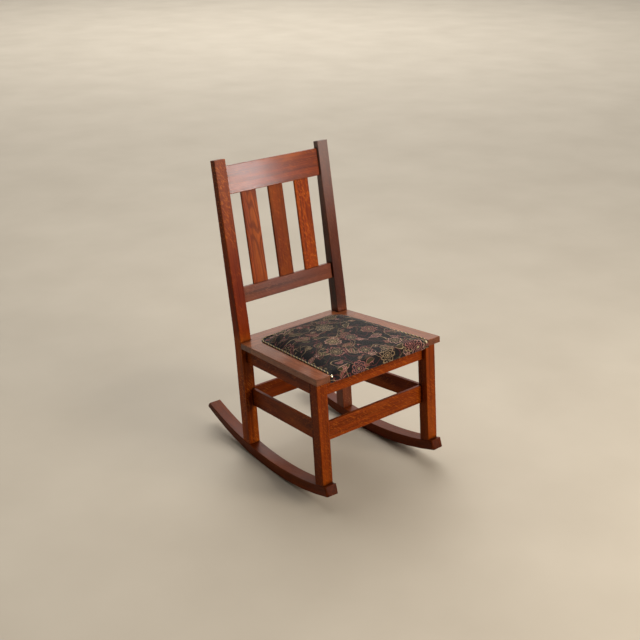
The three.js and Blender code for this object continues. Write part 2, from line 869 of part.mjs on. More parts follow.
// One column of the stuffing's outer face, rear to front and down over the front board, with
// each point moved outwards by an offset.
function columnProfile(share, offset, low) {
  const profile = [];
  const rear = rearEdge(share);
  const top = padLow + padEdge + offset;
  for (let i = 0; i <= padRows; i++) {
    const y = rear + (rollBack - rear) * rowShare(i, rear - rollBack);
    profile.push([y, top + crownAt(share, y)]);
  }
  const rollTop = profile[padRows][1];
  for (let i = 1; i <= rollRows; i++) {
    const angle = ((Math.PI / 2) * i) / rollRows;
    const y = rollBack - (rollReach + offset) * Math.sin(angle);
    profile.push([y, rollTop - (rollDrop + offset) * (1 - Math.cos(angle))]);
  }
  profile.push([rollBack - rollReach - offset, low]);
  return profile;
}

// Rows lie closer towards the rear edge, after the margin.
function rowShare(row, length) {
  const margin = panelMargin / length;
  return row === 0 ? 0 : margin + (1 - margin) * ((row - 1) / (padRows - 1)) ** rowCrowding;
}

// The inner face of the stuffing: flat over the burlap, then round and down the front board.
function innerProfile(share, low) {
  const face = -frontBoardRecess - jointGap;
  return columnProfile(share, 0, low).map(([y], row) => {
    if (row <= padRows) return [y, padLow];
    if (row > padRows + rollRows) return [face, low];
    const angle = ((Math.PI / 2) * (row - padRows)) / rollRows;
    const drop = (rollDrop - padEdge) * (1 - Math.cos(angle));
    return [rollBack - (rollBack - face) * Math.sin(angle), padLow - drop];
  });
}

function grid(profileOf, inset) {
  const columns = columnShares().map((share) =>
    profileOf(share).map(([y, z]) => {
      const half = panelHalf(y) - inset;
      const pulled = y - (inset * Math.max(0, y)) / panelRearBack;
      return new THREE.Vector3(share * half, pulled, z);
    }),
  );
  return columns[0].map((_, row) => columns.map((column) => column[row]));
}

function stuffing() {
  const low = seatUnder + tenonShoulder;
  const outer = grid((share) => columnProfile(share, 0, low), padInset);
  return skin(outer, grid((share) => innerProfile(share, low), padInset));
}

function cover() {
  const low = seatUnder - coverHang;
  const layer = (offset) => grid((share) => columnProfile(share, offset, low), 0);
  return skin(layer(jointGap + coverThickness), layer(jointGap));
}

const openingWidth = 2 * (panelRearHalf - rebateWidth);
const openingDepth = panelRearBack - rebateWidth - frontBoardBack;
const webbingPitches = [openingWidth, openingDepth].map((span) => span * webbingPitchShare);
const webbingWidth = Math.min(...webbingPitches) * webbingWidthShare;
const webbingPlaces = (middle, pitch) =>
  Array.from(
    { length: webbingCount },
    (_, i) => middle + (i - (webbingCount - 1) / 2) * pitch,
  );
const lengthwisePlaces = webbingPlaces(0, webbingPitches[0]);
const crosswisePlaces = webbingPlaces(frontBoardBack + openingDepth / 2, webbingPitches[1]);

// Straps laced over and under each other. A strap lies flat on the boards at its ends and
// where it crosses another, and changes level in the space between them.
function strapProfile([from, fromEdge], [toEdge, to], crossings, startsOver) {
  const half = webbingWidth / 2;
  const line = [[from, webbingMid], [fromEdge, webbingMid]];
  crossings.forEach((place, i) => {
    const level = webbingMid + ((i % 2 === 0) === startsOver ? webbingSway : -webbingSway);
    line.push([place - half, level], [place + half, level]);
  });
  line.push([toEdge, webbingMid], [to, webbingMid]);
  const lift = webbingThickness / 2;
  const under = line.map(([along, z]) => [along, z - lift]);
  const over = line.map(([along, z]) => [along, z + lift]).reverse();
  return outline([...under, ...over]);
}

function lengthwiseStrap(index) {
  const half = webbingWidth / 2;
  const x = lengthwisePlaces[index];
  const front = [webbingFrontEnd, frontBoardBack + jointGap];
  const rear = [panelRearBack - rebateWidth - jointGap, panelRearBack - padInset];
  const profile = strapProfile(front, rear, crosswisePlaces, index % 2 === 0);
  return extrude(profile, "x", x - half, x + half);
}

function crosswiseStrap(index) {
  const half = webbingWidth / 2;
  const y = crosswisePlaces[index];
  const end = panelHalf(y + half) - padInset;
  const edge = panelHalf(y + half) - rebateWidth - jointGap;
  const profile = strapProfile([-end, -edge], [edge, end], lengthwisePlaces, index % 2 !== 0);
  return extrude(profile, "y", y - half, y + half);
}

function burlap() {
  const plan = panelPlan(rollBack, -padInset);
  return extrude(plan, "z", burlapLow, burlapLow + burlapThickness);
}

// Trim laid along three sides of the covering's edge: a rounded strip on a curve.
function gimp() {
  const inset = gimpWidth / 2 + jointGap;
  const low = padLow + padEdge + jointGap + coverThickness + jointGap;
  const [frontLeft, ...rest] = panelPlan(rollBack, -inset).getPoints(roundSides).slice(0, -1);
  const route = [...rest, frontLeft].map((point) => new THREE.Vector3(point.x, point.y, low));
  const line = new THREE.CurvePath();
  for (let i = 0; i + 1 < route.length; i++) {
    line.add(new THREE.LineCurve3(route[i], route[i + 1]));
  }
  const half = gimpWidth / 2;
  const section = new THREE.Shape();
  section.moveTo(0, -half);
  section.quadraticCurveTo(-gimpHeight, -half, -gimpHeight, 0);
  section.quadraticCurveTo(-gimpHeight, half, 0, half);
  section.closePath();
  const geometry = new THREE.ExtrudeGeometry(section, {
    steps: gimpSteps,
    extrudePath: line,
    curveSegments: gimpSides,
  });
  return solid(geometry);
}

// Round-headed nails on the front roll, one at each end.
function nail() {
  const half = panelFrontHalf - nailInset;
  const share = half / panelFrontHalf;
  const offset = coverThickness + 3 * jointGap;
  const profile = columnProfile(share, offset, seatUnder);
  const [y, z] = profile[padRows + Math.round(rollRows * nailAngleShare)];
  const angle = (Math.PI / 2) * (Math.round(rollRows * nailAngleShare) / rollRows);
  const inward = new THREE.Vector3(0, Math.sin(angle), -Math.cos(angle));
  const dome = [];
  for (let i = 0; i <= domeSteps; i++) {
    const turn = (Math.PI / 2) * (i / domeSteps);
    dome.push([nailRadius * Math.sin(turn), -nailDome * Math.cos(turn)]);
  }
  const tail = (grow, length) => [
    [nailShankRadius + grow, 0],
    [nailShankRadius + grow, length - nailRadius / 2],
    [0, length],
  ];
  const place = new THREE.Vector3(half, y, z);
  const shank = [[0, 0], ...tail(pinClearance, nailShankLength + pinClearance)];
  return {
    body: aimed(turned([...dome, ...tail(0, nailShankLength)]), place, inward),
    hole: aimed(turned(shank), place, inward),
  };
}

// Assembly

const finishes = {
  oak: { color: 0x6e2d17, roughness: 0.32, metalness: 0 },
  darkOak: { color: 0x55241a, roughness: 0.38, metalness: 0 },
  bareWood: { color: 0x9a6a3c, roughness: 0.8, metalness: 0 },
  steel: { color: 0x6f6a62, roughness: 0.45, metalness: 1 },
  brass: { color: 0xc9b27a, roughness: 0.3, metalness: 1 },
  jute: { color: 0x9c7f54, roughness: 0.95, metalness: 0 },
  burlap: { color: 0xa98c60, roughness: 1, metalness: 0 },
  fibre: { color: 0xcbbd9c, roughness: 1, metalness: 0 },
  tapestry: { color: 0x221e20, roughness: 0.95, metalness: 0 },
  cord: { color: 0xa8935c, roughness: 0.8, metalness: 0 },
};

function piece(name, body, finish) {
  const { numProp, vertProperties, triVerts } = body.getMesh();
  const geometry = new THREE.BufferGeometry();
  geometry.setAttribute("position", new THREE.BufferAttribute(vertProperties, numProp));
  geometry.setIndex(new THREE.BufferAttribute(triVerts, 1));
  const mesh = new THREE.Mesh(geometry, new THREE.MeshStandardMaterial(finishes[finish]));
  mesh.name = name;
  return mesh;
}

const mirrored = (body) => body.mirror([1, 0, 0]);

// The right piece as drawn and the left piece as its mirror image.
function pair(name, body, finish) {
  return [piece(`${name}_right`, body, finish), piece(`${name}_left`, mirrored(body), finish)];
}

const chair = new THREE.Group();
const back = new THREE.Group();
back.applyMatrix4(backPlace);
chair.add(back);

const frontRockerScrew = rockerScrew(legCentre);
const rearRockerScrew = rockerScrew(postCentre);
const frontBlock = cornerBlock(true);
const rearBlock = cornerBlock(false);
const frontNail = nail();

chair.add(
  ...pair(
    "rocker",
    cut(
      rockerBlank(),
      stub(legCentre).mortise,
      stub(postCentre).mortise,
      frontRockerScrew.hole,
      rearRockerScrew.hole,
    ),
    "darkOak",
  ),
  ...pair("front_leg", frontLeg(frontRockerScrew.hole), "oak"),
  ...pair("rear_post", rearPost(rearRockerScrew.hole), "oak"),
  ...pair("rocker_screw_front", frontRockerScrew.body, "steel"),
  ...pair("rocker_screw_rear", rearRockerScrew.body, "steel"),
);

const bothSides = (body) => [body, mirrored(body)];
chair.add(
  piece("apron_front", cut(aprons.front.body, ...bothSides(frontBlock.crossScrew.hole)), "oak"),
  piece("apron_rear", cut(aprons.rear.body, ...bothSides(rearBlock.crossScrew.hole)), "darkOak"),
  ...pair(
    "apron",
    cut(aprons.side.body, frontBlock.sideScrew.hole, rearBlock.sideScrew.hole),
    "darkOak",
  ),
  piece("stretcher_front", stretchers.front.body, "oak"),
  piece("stretcher_rear", stretchers.rear.body, "darkOak"),
  ...pair("stretcher", stretchers.side.body, "darkOak"),
);

back.add(piece("crest_rail", crest.body, "oak"), piece("lower_back_rail", lowerRail.body, "oak"));
for (let i = 0; i < slatCount; i++) {
  back.add(piece(`back_slat_${slatNames[i]}`, slat(i), "oak"));
}

const rearSeatHoles = bothSides(rearBlock.seatScrew.hole);
const nailHoles = bothSides(frontNail.hole);
chair.add(
  ...pair("seat_board", sideBoard([frontBlock.seatScrew.hole]), "oak"),
  piece("seat_board_rear", rearBoard(rearSeatHoles), "oak"),
  piece("seat_board_front", frontBoard(nailHoles), "bareWood"),
);

for (const [end, block] of Object.entries({ front: frontBlock, rear: rearBlock })) {
  chair.add(
    ...pair(`corner_block_${end}`, block.body, "bareWood"),
    ...pair(`seat_screw_${end}`, block.seatScrew.body, "steel"),
    ...pair(`apron_screw_${end}_cross`, block.crossScrew.body, "steel"),
    ...pair(`apron_screw_${end}_side`, block.sideScrew.body, "steel"),
  );
}

for (let i = 0; i < webbingCount; i++) {
  chair.add(piece(`webbing_lengthwise_${i + 1}`, lengthwiseStrap(i), "jute"));
  chair.add(piece(`webbing_crosswise_${i + 1}`, crosswiseStrap(i), "jute"));
}

chair.add(
  piece("burlap", burlap(), "burlap"),
  piece("seat_stuffing", cut(stuffing(), ...nailHoles), "fibre"),
  piece("seat_cover", cut(cover(), ...nailHoles), "tapestry"),
  piece("gimp_trim", gimp(), "cord"),
  ...pair("decorative_nail", frontNail.body, "brass"),
);

// The chair leans back to its rest attitude, and stands on z = 0 with its box centred.
chair.rotation.x = -restTilt;
chair.updateMatrixWorld(true);
const bounds = new THREE.Box3().setFromObject(chair, true);
const middle = bounds.getCenter(new THREE.Vector3());
chair.position.set(-middle.x, -middle.y, -bounds.min.z);

const part = new THREE.Group();
part.add(chair);
part.updateMatrixWorld(true);

export default part;
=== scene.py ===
# %% [markdown]
# # An armless oak rocking chair
#
# The chair is a small rocker of dark stained oak: four legs on two curved runners, a raked
# back with flat slats, and a seat whose flat wooden border holds an upholstered panel.
#
# The solids are loaded first and stay where they are. Everything made here is measured in
# metres in the same frame, so a new piece goes exactly where its solid is. The size of the
# loaded model is kept and printed again at the end.

import math

import bmesh
import bpy
from mathutils import Matrix, Vector, noise


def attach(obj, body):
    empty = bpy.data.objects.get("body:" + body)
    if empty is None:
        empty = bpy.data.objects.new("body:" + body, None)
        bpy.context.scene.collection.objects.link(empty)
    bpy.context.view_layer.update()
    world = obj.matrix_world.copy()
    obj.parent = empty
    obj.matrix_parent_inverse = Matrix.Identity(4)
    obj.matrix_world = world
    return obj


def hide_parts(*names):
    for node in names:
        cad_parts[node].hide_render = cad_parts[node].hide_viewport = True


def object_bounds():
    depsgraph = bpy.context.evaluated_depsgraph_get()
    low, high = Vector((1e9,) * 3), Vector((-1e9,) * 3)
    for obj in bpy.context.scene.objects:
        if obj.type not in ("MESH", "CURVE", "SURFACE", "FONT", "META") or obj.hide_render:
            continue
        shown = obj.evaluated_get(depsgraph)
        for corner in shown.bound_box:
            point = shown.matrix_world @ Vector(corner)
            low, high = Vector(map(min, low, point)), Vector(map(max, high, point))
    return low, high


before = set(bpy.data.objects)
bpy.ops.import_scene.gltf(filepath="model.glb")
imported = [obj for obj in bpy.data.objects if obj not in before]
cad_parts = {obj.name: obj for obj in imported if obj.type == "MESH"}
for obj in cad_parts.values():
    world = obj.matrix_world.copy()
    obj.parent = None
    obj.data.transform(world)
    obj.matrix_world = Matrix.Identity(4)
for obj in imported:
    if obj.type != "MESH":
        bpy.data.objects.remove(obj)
cad_low, cad_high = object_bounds()
print("solids:", len(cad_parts), "size:", [round(v, 3) for v in cad_high - cad_low])

# %% [markdown]
# ## The chair's own frame
#
# A rocking chair at rest leans back. Its legs, boards and rails are square to each other but
# not to the floor, so it is easier to measure them in a frame that leans with the chair:
# x across, y back from the front legs, z up from the lowest point of the runners' arc, all in
# millimetres. One matrix takes a place in that frame to the world.

# %% From the chair's frame to the world
MM = 0.001
REST_TILT = math.radians(5.4)
LEAN = Matrix.Translation((0, -0.279081, 0.020932)) @ Matrix.Rotation(-REST_TILT, 4, "X")
CHAIR = LEAN @ Matrix.Scale(MM, 4)
CHAIR_INVERSE = CHAIR.inverted()


def place(x, y, z):
    """A place in the chair's frame, in millimetres, as a place in the world."""
    return CHAIR @ Vector((x, y, z))


print("front left seat corner:", [round(v, 4) for v in place(-212, -12, 349)])

# %% [markdown]
# ## Camera
#
# The camera stands in front and to the left, 1.3 m up, and looks down at the seat with a
# moderately long lens. Its place was found by fitting the edges of the chair, so the frame is
# level and nothing needs shifting.


# %% Camera
def linked(name, data):
    """A new object in the scene."""
    thing = bpy.data.objects.new(name, data)
    bpy.context.scene.collection.objects.link(thing)
    return thing


def aim(thing, location, direction):
    """Puts a camera or a lamp somewhere and turns it to look along a direction."""
    thing.location = location
    thing.rotation_mode = "QUATERNION"
    thing.rotation_quaternion = direction.to_track_quat("-Z", "Y")


camera = linked("camera", bpy.data.cameras.new("camera"))
camera.data.sensor_width, camera.data.lens = 36, 58.28
looks_along = CHAIR.to_3x3() @ Vector((0.57607449, 0.74894307, -0.32744841))
aim(camera, place(-1632.0, -1887.0, 1319.9), looks_along)
bpy.context.scene.camera = camera
print("camera at", [round(v, 3) for v in camera.location])

# %% [markdown]
# ## Floor and light
#
# The floor is a plain pale sheet. Varnished wood shows mostly what it reflects, so the light
# matters as much as the stain. A broad lamp at the front right warms the faces that look that
# way, and a tall narrow one stands for a bright doorway, whose reflection lies on the left
# half of the crest rail. A lamp overhead lights the seat. A large one far behind faces the
# floor, and its reflection gives the seat boards their grey-pink sheen. The left side stays
# darker, which leaves the sides of the legs nearly black.

# %% Floor
FLOOR_REACH = 14.0
floor = linked("floor", bpy.data.meshes.new("floor"))
corners = [(x * FLOOR_REACH, y * FLOOR_REACH, 0) for x, y in ((-1, -1), (1, -1), (1, 1), (-1, 1))]
floor.data.from_pydata(corners, [], [(0, 1, 2, 3)])
print("floor", 2 * FLOOR_REACH, "m across")


# %% Lamps
def area_lamp(name, location, target, size, power, colour, height=None):
    """A square or upright lamp that faces a target."""
    data = bpy.data.lights.new(name, "AREA")
    data.size, data.energy, data.color = size, power, colour
    if height:
        data.shape, data.size_y = "RECTANGLE", height
    aim(linked(name, data), location, Vector(target) - Vector(location))


WARM, COOL, DAYLIGHT = (1, 0.9, 0.77), (1, 0.95, 0.93), (1, 0.98, 0.95)
area_lamp("front lamp", (1.0, -3.12, 1.55), (0, 0, 0.5), 1.5, 106, WARM)
area_lamp("bright doorway", (1.59, -2.36, 0.95), (0, 0.2, 0.7), 0.2, 10, COOL, height=1.2)
area_lamp("top lamp", (0.4, 0.9, 3.0), (0, 0, 0.4), 2.0, 40, DAYLIGHT)
area_lamp("far lamp", (5.0, 7.0, 6.0), (5.0, 7.0, 0), 6.0, 620, DAYLIGHT)
bpy.context.scene.view_settings.view_transform = "Standard"

# %% [markdown]
# ## Small tools for materials
#
# A material in Blender is a graph of nodes. These helpers hide the wiring: a wire is a node's
# output, arithmetic on wires adds Math nodes, and setting an input takes a wire or a plain
# value. Each material below then reads as a recipe. A number or a colour that is the same all
# over the surface is set on the shader's own socket, and only what changes over the surface
# comes in through a wire.


# %% Wires and nodes
class Wire:
    """A node's output. Arithmetic on it adds Math nodes."""

    def __init__(self, socket):
        self.socket, self.tree = socket, socket.id_data

    def __abs__(self):
        return maths("ABSOLUTE", self)


SIGNS = (("add", "ADD"), ("sub", "SUBTRACT"), ("mul", "MULTIPLY"), ("truediv", "DIVIDE"))
for sign, operation in SIGNS:
    setattr(Wire, f"__{sign}__", lambda a, b, do=operation: maths(do, a, b))
    setattr(Wire, f"__r{sign}__", lambda a, b, do=operation: maths(do, b, a))


class Node:
    """Reading an item of a node gives an output, and setting one fills an input."""

    def __init__(self, node):
        self.node = node

    def __getitem__(self, name):
        return Wire(self.node.outputs[name])

    def __setitem__(self, name, value):
        if isinstance(value, Wire):
            value.tree.links.new(value.socket, self.node.inputs[name])
        else:
            self.node.inputs[name].default_value = value


def add_node(tree, kind, inputs=None, **options):
    """Adds a node with its options and what its inputs hold."""
    made = Node(tree.nodes.new("ShaderNode" + kind))
    for name, value in options.items():
        setattr(made.node, name, value)
    for name, value in (inputs or {}).items():
        made[name] = value
    return made


def fed(kind, inputs, **options):
    """Adds a node to the tree in which the wires among its inputs run."""
    tree = next(value.tree for value in inputs.values() if isinstance(value, Wire))
    return add_node(tree, kind, inputs, **options)


def maths(operation, *terms, clamp=False):
    """One step of arithmetic on numbers or wires."""
    return fed("Math", dict(enumerate(terms)), operation=operation, use_clamp=clamp)[0]


def vectors(operation, *terms):
    """One step of arithmetic on vectors. SCALE takes a vector and a number."""
    inputs = dict(zip((0, "Scale") if operation == "SCALE" else (0, 1), terms))
    made = fed("VectorMath", inputs, operation=operation)
    return made["Value" if operation == "DOT_PRODUCT" else "Vector"]


def between(value, low, high):
    """0 below low, 1 above high, and a smooth rise from one to the other."""
    inputs = {"Value": value, "From Min": low, "From Max": high}
    return fed("MapRange", inputs, interpolation_type="SMOOTHSTEP")["Result"]


def mixed(share, first, second, blend="MIX"):
    """Two colours mixed by a share, which may change over the surface."""
    inputs = {0: share, 6: first, 7: second}
    return fed("Mix", inputs, data_type="RGBA", blend_type=blend)[2]


def stretched(vector, scale, offset=(0, 0, 0), turn=(0, 0, 0)):
    """A vector scaled along each axis, turned and moved."""
    inputs = {"Vector": vector, "Scale": scale, "Location": offset, "Rotation": turn}
    return fed("Mapping", inputs)["Vector"]


def noisy(vector, scale=1.0, output="Fac", **values):
    """Soft noise over a vector, about 0.5 on average."""
    inputs = {name.title(): value for name, value in values.items()}
    return fed("TexNoise", {"Vector": vector, "Scale": scale} | inputs)[output]


def split(vector):
    """The parts X, Y and Z of a vector."""
    return fed("SeparateXYZ", {0: vector})


def own_place(tree):
    """Where a point lies in its object, in metres."""
    return add_node(tree, "TexCoord")["Object"]


def stored(tree, name, output="Vector"):
    """What a mesh keeps under a name."""
    return add_node(tree, "Attribute", attribute_name=name)[output]


def bumped(height, strength, distance):
    """The normal of a surface that is raised by a height."""
    return fed("Bump", {"Height": height, "Strength": strength, "Distance": distance})["Normal"]


def rgb(red, green, blue):
    """A colour as a painter would read it off a screen, turned into light values."""
    return tuple((v / 255) ** 2.2 for v in (red, green, blue)) + (1.0,)


print("node helpers ready")


# %% Groups and materials
def new_group(name, inputs, outputs):
    """A shader group, from its inputs with their usual values and its outputs' names."""
    tree = bpy.data.node_groups.new(name, "ShaderNodeTree")
    new_socket = tree.interface.new_socket
    for socket, value in inputs.items():
        kind = "Float" if isinstance(value, float) else "Vector" if len(value) == 3 else "Color"
        new_socket(socket, socket_type="NodeSocket" + kind).default_value = value
    for socket in outputs:
        kind = "Color" if socket == "Color" else "Float"
        new_socket(socket, in_out="OUTPUT", socket_type="NodeSocket" + kind)
    return tree, *(Node(tree.nodes.new("NodeGroup" + end)) for end in ("Input", "Output"))


def count_nodes(tree):
    """Says how many nodes a group has."""
    print("group:", tree.name, "with", len(tree.nodes), "nodes")


def use_group(tree, group, inputs):
    """Places a group in a material."""
    return add_node(tree, "Group", inputs, node_tree=group)


def new_material(name, **values):
    """A material with its shader's plain values set. Gives back the material, tree and shader."""
    material = bpy.data.materials.new(name)
    material.use_nodes = True
    shader = Node(material.node_tree.nodes["Principled BSDF"])
    for socket, value in values.items():
        shader[socket.replace("_", " ")] = value
    return material, material.node_tree, shader


print("group helpers ready")

# %% [markdown]
# ## Effects that several materials share
#
# Wood figure: oak sawn towards the middle of the log shows fine straight lines, short dark
# pores, and pale rays that cross the lines at a slant. All three are noise stretched by
# different amounts along the board. The board's own directions are stored on its mesh as an
# attribute, in millimetres, so the figure always follows the wood, also round a bend.
#
# Edge wear: stain and varnish thin out where hands and cloths rub. The Bevel node gives the
# normal that a slightly rounder edge would have. Where that differs from the true normal,
# there is an edge. On the oak, the light colour laid on these edges is partly wear and partly
# a painted highlight.
#
# Corner shade: painted shade darkens the corners and joints, where little of the room can be
# seen from the surface, which the Ambient Occlusion node measures.
#
# Weave: a plain weave is two sets of ribs, each high where the other is low.

# %% Wood figure
STAINS = {"Dark": rgb(45, 16, 9), "Middle": rgb(106, 42, 20), "Light": rgb(150, 72, 34)}
defaults = {"Board": (0, 0, 0), **STAINS, "Rays": 0.5, "Pores": 0.5, "Arches": 0.0}
wood_figure, given, gives = new_group("Wood figure", defaults, ("Color", "Height", "Dulling"))
board = given["Board"]
RAY_SLANT, ARCHES_PER_UNIT = (0, math.radians(34), 0), 34.0


def grain(*scale, **options):
    """Noise that is stretched along the board."""
    return noisy(stretched(board, scale), **options)


lines = grain(0.55, 0.4, 0.004, detail=4, distortion=0.2)
bands = grain(0.07, 0.05, 0.0016, distortion=0.4)
cloudy = grain(0.02, 0.02, 0.005)
streaks = grain(0.9, 0.7, 0.02, detail=3, roughness=0.7)
pore_depth = between(grain(1.5, 1.2, 0.035), 0.56, 0.66) * given["Pores"]
slanted = stretched(stretched(board, (1, 1, 1), turn=RAY_SLANT), (0.44, 0.24, 0.085))
ray_areas = between(noisy(stretched(board, (0.02, 0.02, 0.011), (7, 3, 0))), 0.34, 0.50)
rays = between(noisy(slanted, distortion=0.7), 0.55, 0.63) * ray_areas * given["Rays"]
arch_field = grain(0.028, 0.02, 0.0042, detail=1, distortion=0.5)
arches = between(abs(maths("SINE", arch_field * ARCHES_PER_UNIT)), 0.55, 0.98) * given["Arches"]
colour = mixed(between(lines * 0.5 + bands * 0.5, 0.30, 0.60), given["Dark"], given["Middle"])
colour = mixed(between(cloudy, 0.45, 0.75) * 0.4, colour, given["Light"])
colour = mixed(arches, colour, given["Dark"])
colour = mixed(rays, colour, given["Light"])
gives["Color"] = mixed(pore_depth, colour, given["Dark"])
gives["Height"] = lines * 0.35 - pore_depth * 0.7
gives["Dulling"] = between(streaks, 0.4, 0.65) * 0.45 + cloudy * 0.35 + pore_depth * 0.5
count_nodes(wood_figure)

# %% Edge wear
defaults = {"Radius": 0.002, "Patchiness": 60.0}
edge_wear, given, gives = new_group("Edge wear", defaults, ("Mask",))
soft = fed("Bevel", {"Radius": given["Radius"]}, samples=6)["Normal"]
true = add_node(edge_wear, "NewGeometry")["Normal"]
edge = between(1.0 - vectors("DOT_PRODUCT", soft, true), 0.01, 0.16)
spots = noisy(own_place(edge_wear), scale=given["Patchiness"])
gives["Mask"] = edge * between(spots, 0.38, 0.62)
count_nodes(edge_wear)

# %% Corner shade
corner_shade, given, gives = new_group("Corner shade", {"Reach": 0.01}, ("Mask",))
# Painted shade: the mask is high where other surfaces lie close by, as in corners and joints.
openness = fed("AmbientOcclusion", {"Distance": given["Reach"]}, samples=8)["AO"]
patchy = noisy(own_place(corner_shade), detail=3.0, scale=90.0) * 0.6 + 0.6
gives["Mask"] = maths("MULTIPLY", between(1.0 - openness, 0.12, 0.62), patchy, clamp=True)
count_nodes(corner_shade)

# %% Weave
defaults = {"Cloth": (0, 0, 0), "Threads": 1.0, "Looseness": 0.3}
weave, given, gives = new_group("Weave", defaults, ("Height", "Warp"))
wobble = noisy(given["Cloth"], scale=0.35, output="Color")
shift = vectors("SCALE", vectors("SUBTRACT", wobble, (0.5, 0.5, 0.5)), given["Looseness"])
parts = split(vectors("SCALE", vectors("ADD", given["Cloth"], shift), given["Threads"]))
x, y = parts["X"], parts["Y"]
ribs_x, ribs_y = (abs(maths("SINE", side * math.pi)) for side in (x, y))
checker = maths("MODULO", maths("FLOOR", x) + maths("FLOOR", y) + 1000.0, 2.0)
gives["Height"] = ribs_x * checker + ribs_y * (1.0 - checker)
gives["Warp"] = checker
count_nodes(weave)

# %% [markdown]
# ## Stained oak
#
# The frame was fumed or stained a dark red-brown and varnished. Close up, the stain sits in
# the pores and thins on the edges, which also carry a painted highlight, end grain drinks more
# of it, and the varnish is a thin clear coat. The coat gives the sharp part of the sheen, and
# the wood under it the soft part.
# Painted shade darkens the corners where two boards meet. On the rear posts, painted shade
# deepens the colour just above the seat, and a painted grey sheen lies on their tops.
#
# One function makes every wood here. Boards of one chair never match: some are paler, some
# show the rays of quarter-sawn oak or the arches of flat-sawn oak, and some have kept more
# varnish.


# %% Painted shade and sheen on a post
def painted_post_light(tree, colour, post_shade_tint, post_sheen_share):
    """Paints shade on a post just above the seat, fading out higher up, and a grey sheen on its
    top.
    """
    height = split(own_place(tree))["Z"]
    unshaded = maths("MAXIMUM", between(height, 0.44, 0.76), 1.0 - between(height, 0.33, 0.37))
    # Painted shade: just above the seat the colour is multiplied by a dark tint, fading out higher
    # up.
    colour = mixed(1.0, colour, mixed(unshaded, post_shade_tint, (1.0, 1.0, 1.0, 1.0)), "MULTIPLY")
    # Painted sheen: towards the top the colour is mixed with grey.
    return mixed(between(height, 0.55, 0.86) * post_sheen_share, colour, rgb(165, 168, 170))


# %% Oak material
# The first colour is the dark tint of the painted shade in corners. END_GRAIN darkens end grain,
# which takes more stain.
CORNER_SHADE_TINT, END_GRAIN = (0.16, 0.14, 0.13, 1), (0.60, 0.55, 0.52, 1)


def oak_material(name, stains, rays, coat, gloss, arches=0.0, post_shade_tint=None, post_sheen_share=0.0):
    """Wood with its dark, middle and light stain, its figure, its varnish and how glossy it is."""
    plain_values = {"Coat_Roughness": gloss, "Coat_IOR": 1.5, "Specular_IOR_Level": 0.05}
    material, tree, shader = new_material(name, **plain_values)
    inputs = {stain: rgb(*parts) for stain, parts in zip(STAINS, stains)}
    inputs |= {"Board": stored(tree, "board"), "Rays": rays, "Pores": 0.5, "Arches": arches}
    figure = use_group(tree, wood_figure, inputs)
    wear_and_edge_highlight = use_group(tree, edge_wear, {"Radius": 0.0022, "Patchiness": 45.0})["Mask"]
    corner_shade_mask = use_group(tree, corner_shade, {"Reach": 0.012})["Mask"]
    # The light stain on the edges is partly real wear and partly a painted highlight.
    colour = mixed(wear_and_edge_highlight * 0.4, figure["Color"], inputs["Light"])
    # Painted shade: corners and joints are multiplied towards a dark tint.
    colour = mixed(corner_shade_mask, colour, CORNER_SHADE_TINT, "MULTIPLY")
    # Only the rear posts get this painted shade and sheen.
    if post_shade_tint:
        colour = painted_post_light(tree, colour, post_shade_tint, post_sheen_share)
    end = stored(tree, "end grain", "Fac")
    shader["Base Color"] = mixed(end, colour, END_GRAIN, "MULTIPLY")
    shader["Roughness"] = figure["Dulling"] * 0.16 + 0.36
    thinned, patchy = wear_and_edge_highlight * (-0.6 * coat) + coat, 1.25 - figure["Dulling"] * 0.85
    shader["Coat Weight"] = maths("MULTIPLY", thinned, patchy, clamp=True)
    shader["Normal"] = bumped(figure["Height"], 0.25, 0.0002)
    return material


# Stains from dark to light, rays, coat, gloss, and, where given, arches, a painted shade tint and
# the share of a painted grey sheen.
# Painted sheen: these greyed, rosy stains stand in for the pale sheen on the lower back rail and
# the right post.
ROSY_PAINTED_SHEEN = (66, 30, 12), (106, 50, 26), (144, 82, 48)
WOODS = {
    "stained oak": (((70, 29, 5), (117, 49, 8), (158, 80, 22)), 0.5, 0.05, 0.25),
    "sheen-painted oak": (ROSY_PAINTED_SHEEN, 0.35, 0.45, 0.2),
    "arched oak": (((92, 37, 8), (146, 64, 17), (176, 94, 34)), 0.1, 0.08, 0.25, 0.7),
    "polished oak": (((82, 34, 6), (138, 57, 10), (172, 90, 26)), 0.3, 1.0, 0.15, 0.25),
    "waxed oak": (((88, 48, 26), (130, 72, 42), (162, 102, 66)), 0.3, 0.62, 0.15, 0.25),
    "quartered oak": (((88, 34, 4), (142, 57, 7), (186, 92, 22)), 1.0, 0.05, 0.25),
    # The two posts end with a painted shade tint and the share of a painted grey sheen.
    "left post oak": (((84, 34, 6), (134, 58, 12), (172, 90, 28)), 1.0, 0.05, 0.25, 0.0,
                      (0.62, 0.36, 0.1, 1), 0.05),
    "right post oak": (ROSY_PAINTED_SHEEN, 0.35, 0.4, 0.2, 0.0, (0.42, 0.3, 0.14, 1), 0.3),
    "dark oak": (((60, 27, 7), (98, 42, 11), (130, 64, 22)), 0.3, 0.08, 0.3),
    "unfinished wood": (((96, 64, 38), (142, 102, 62), (176, 134, 88)), 0.15, 0.0, 0.4),
}
woods = {name: oak_material(name, *values) for name, values in WOODS.items()}
print("woods:", ", ".join(woods))

# %% [markdown]
# ## Tapestry
#
# The covering is a machine-woven tapestry: a black ground with scalloped flowers, curled
# leaves and thin scrolling stems in rose, tan, olive and cream. The pattern is drawn from
# simple rules: each flower is a few wavy rings round a point, each leaf a bent lens with a
# vein, each stem a contour line of smooth noise. The place in the cloth is first rounded to
# the nearest thread, because a woven picture changes colour only from thread to thread.


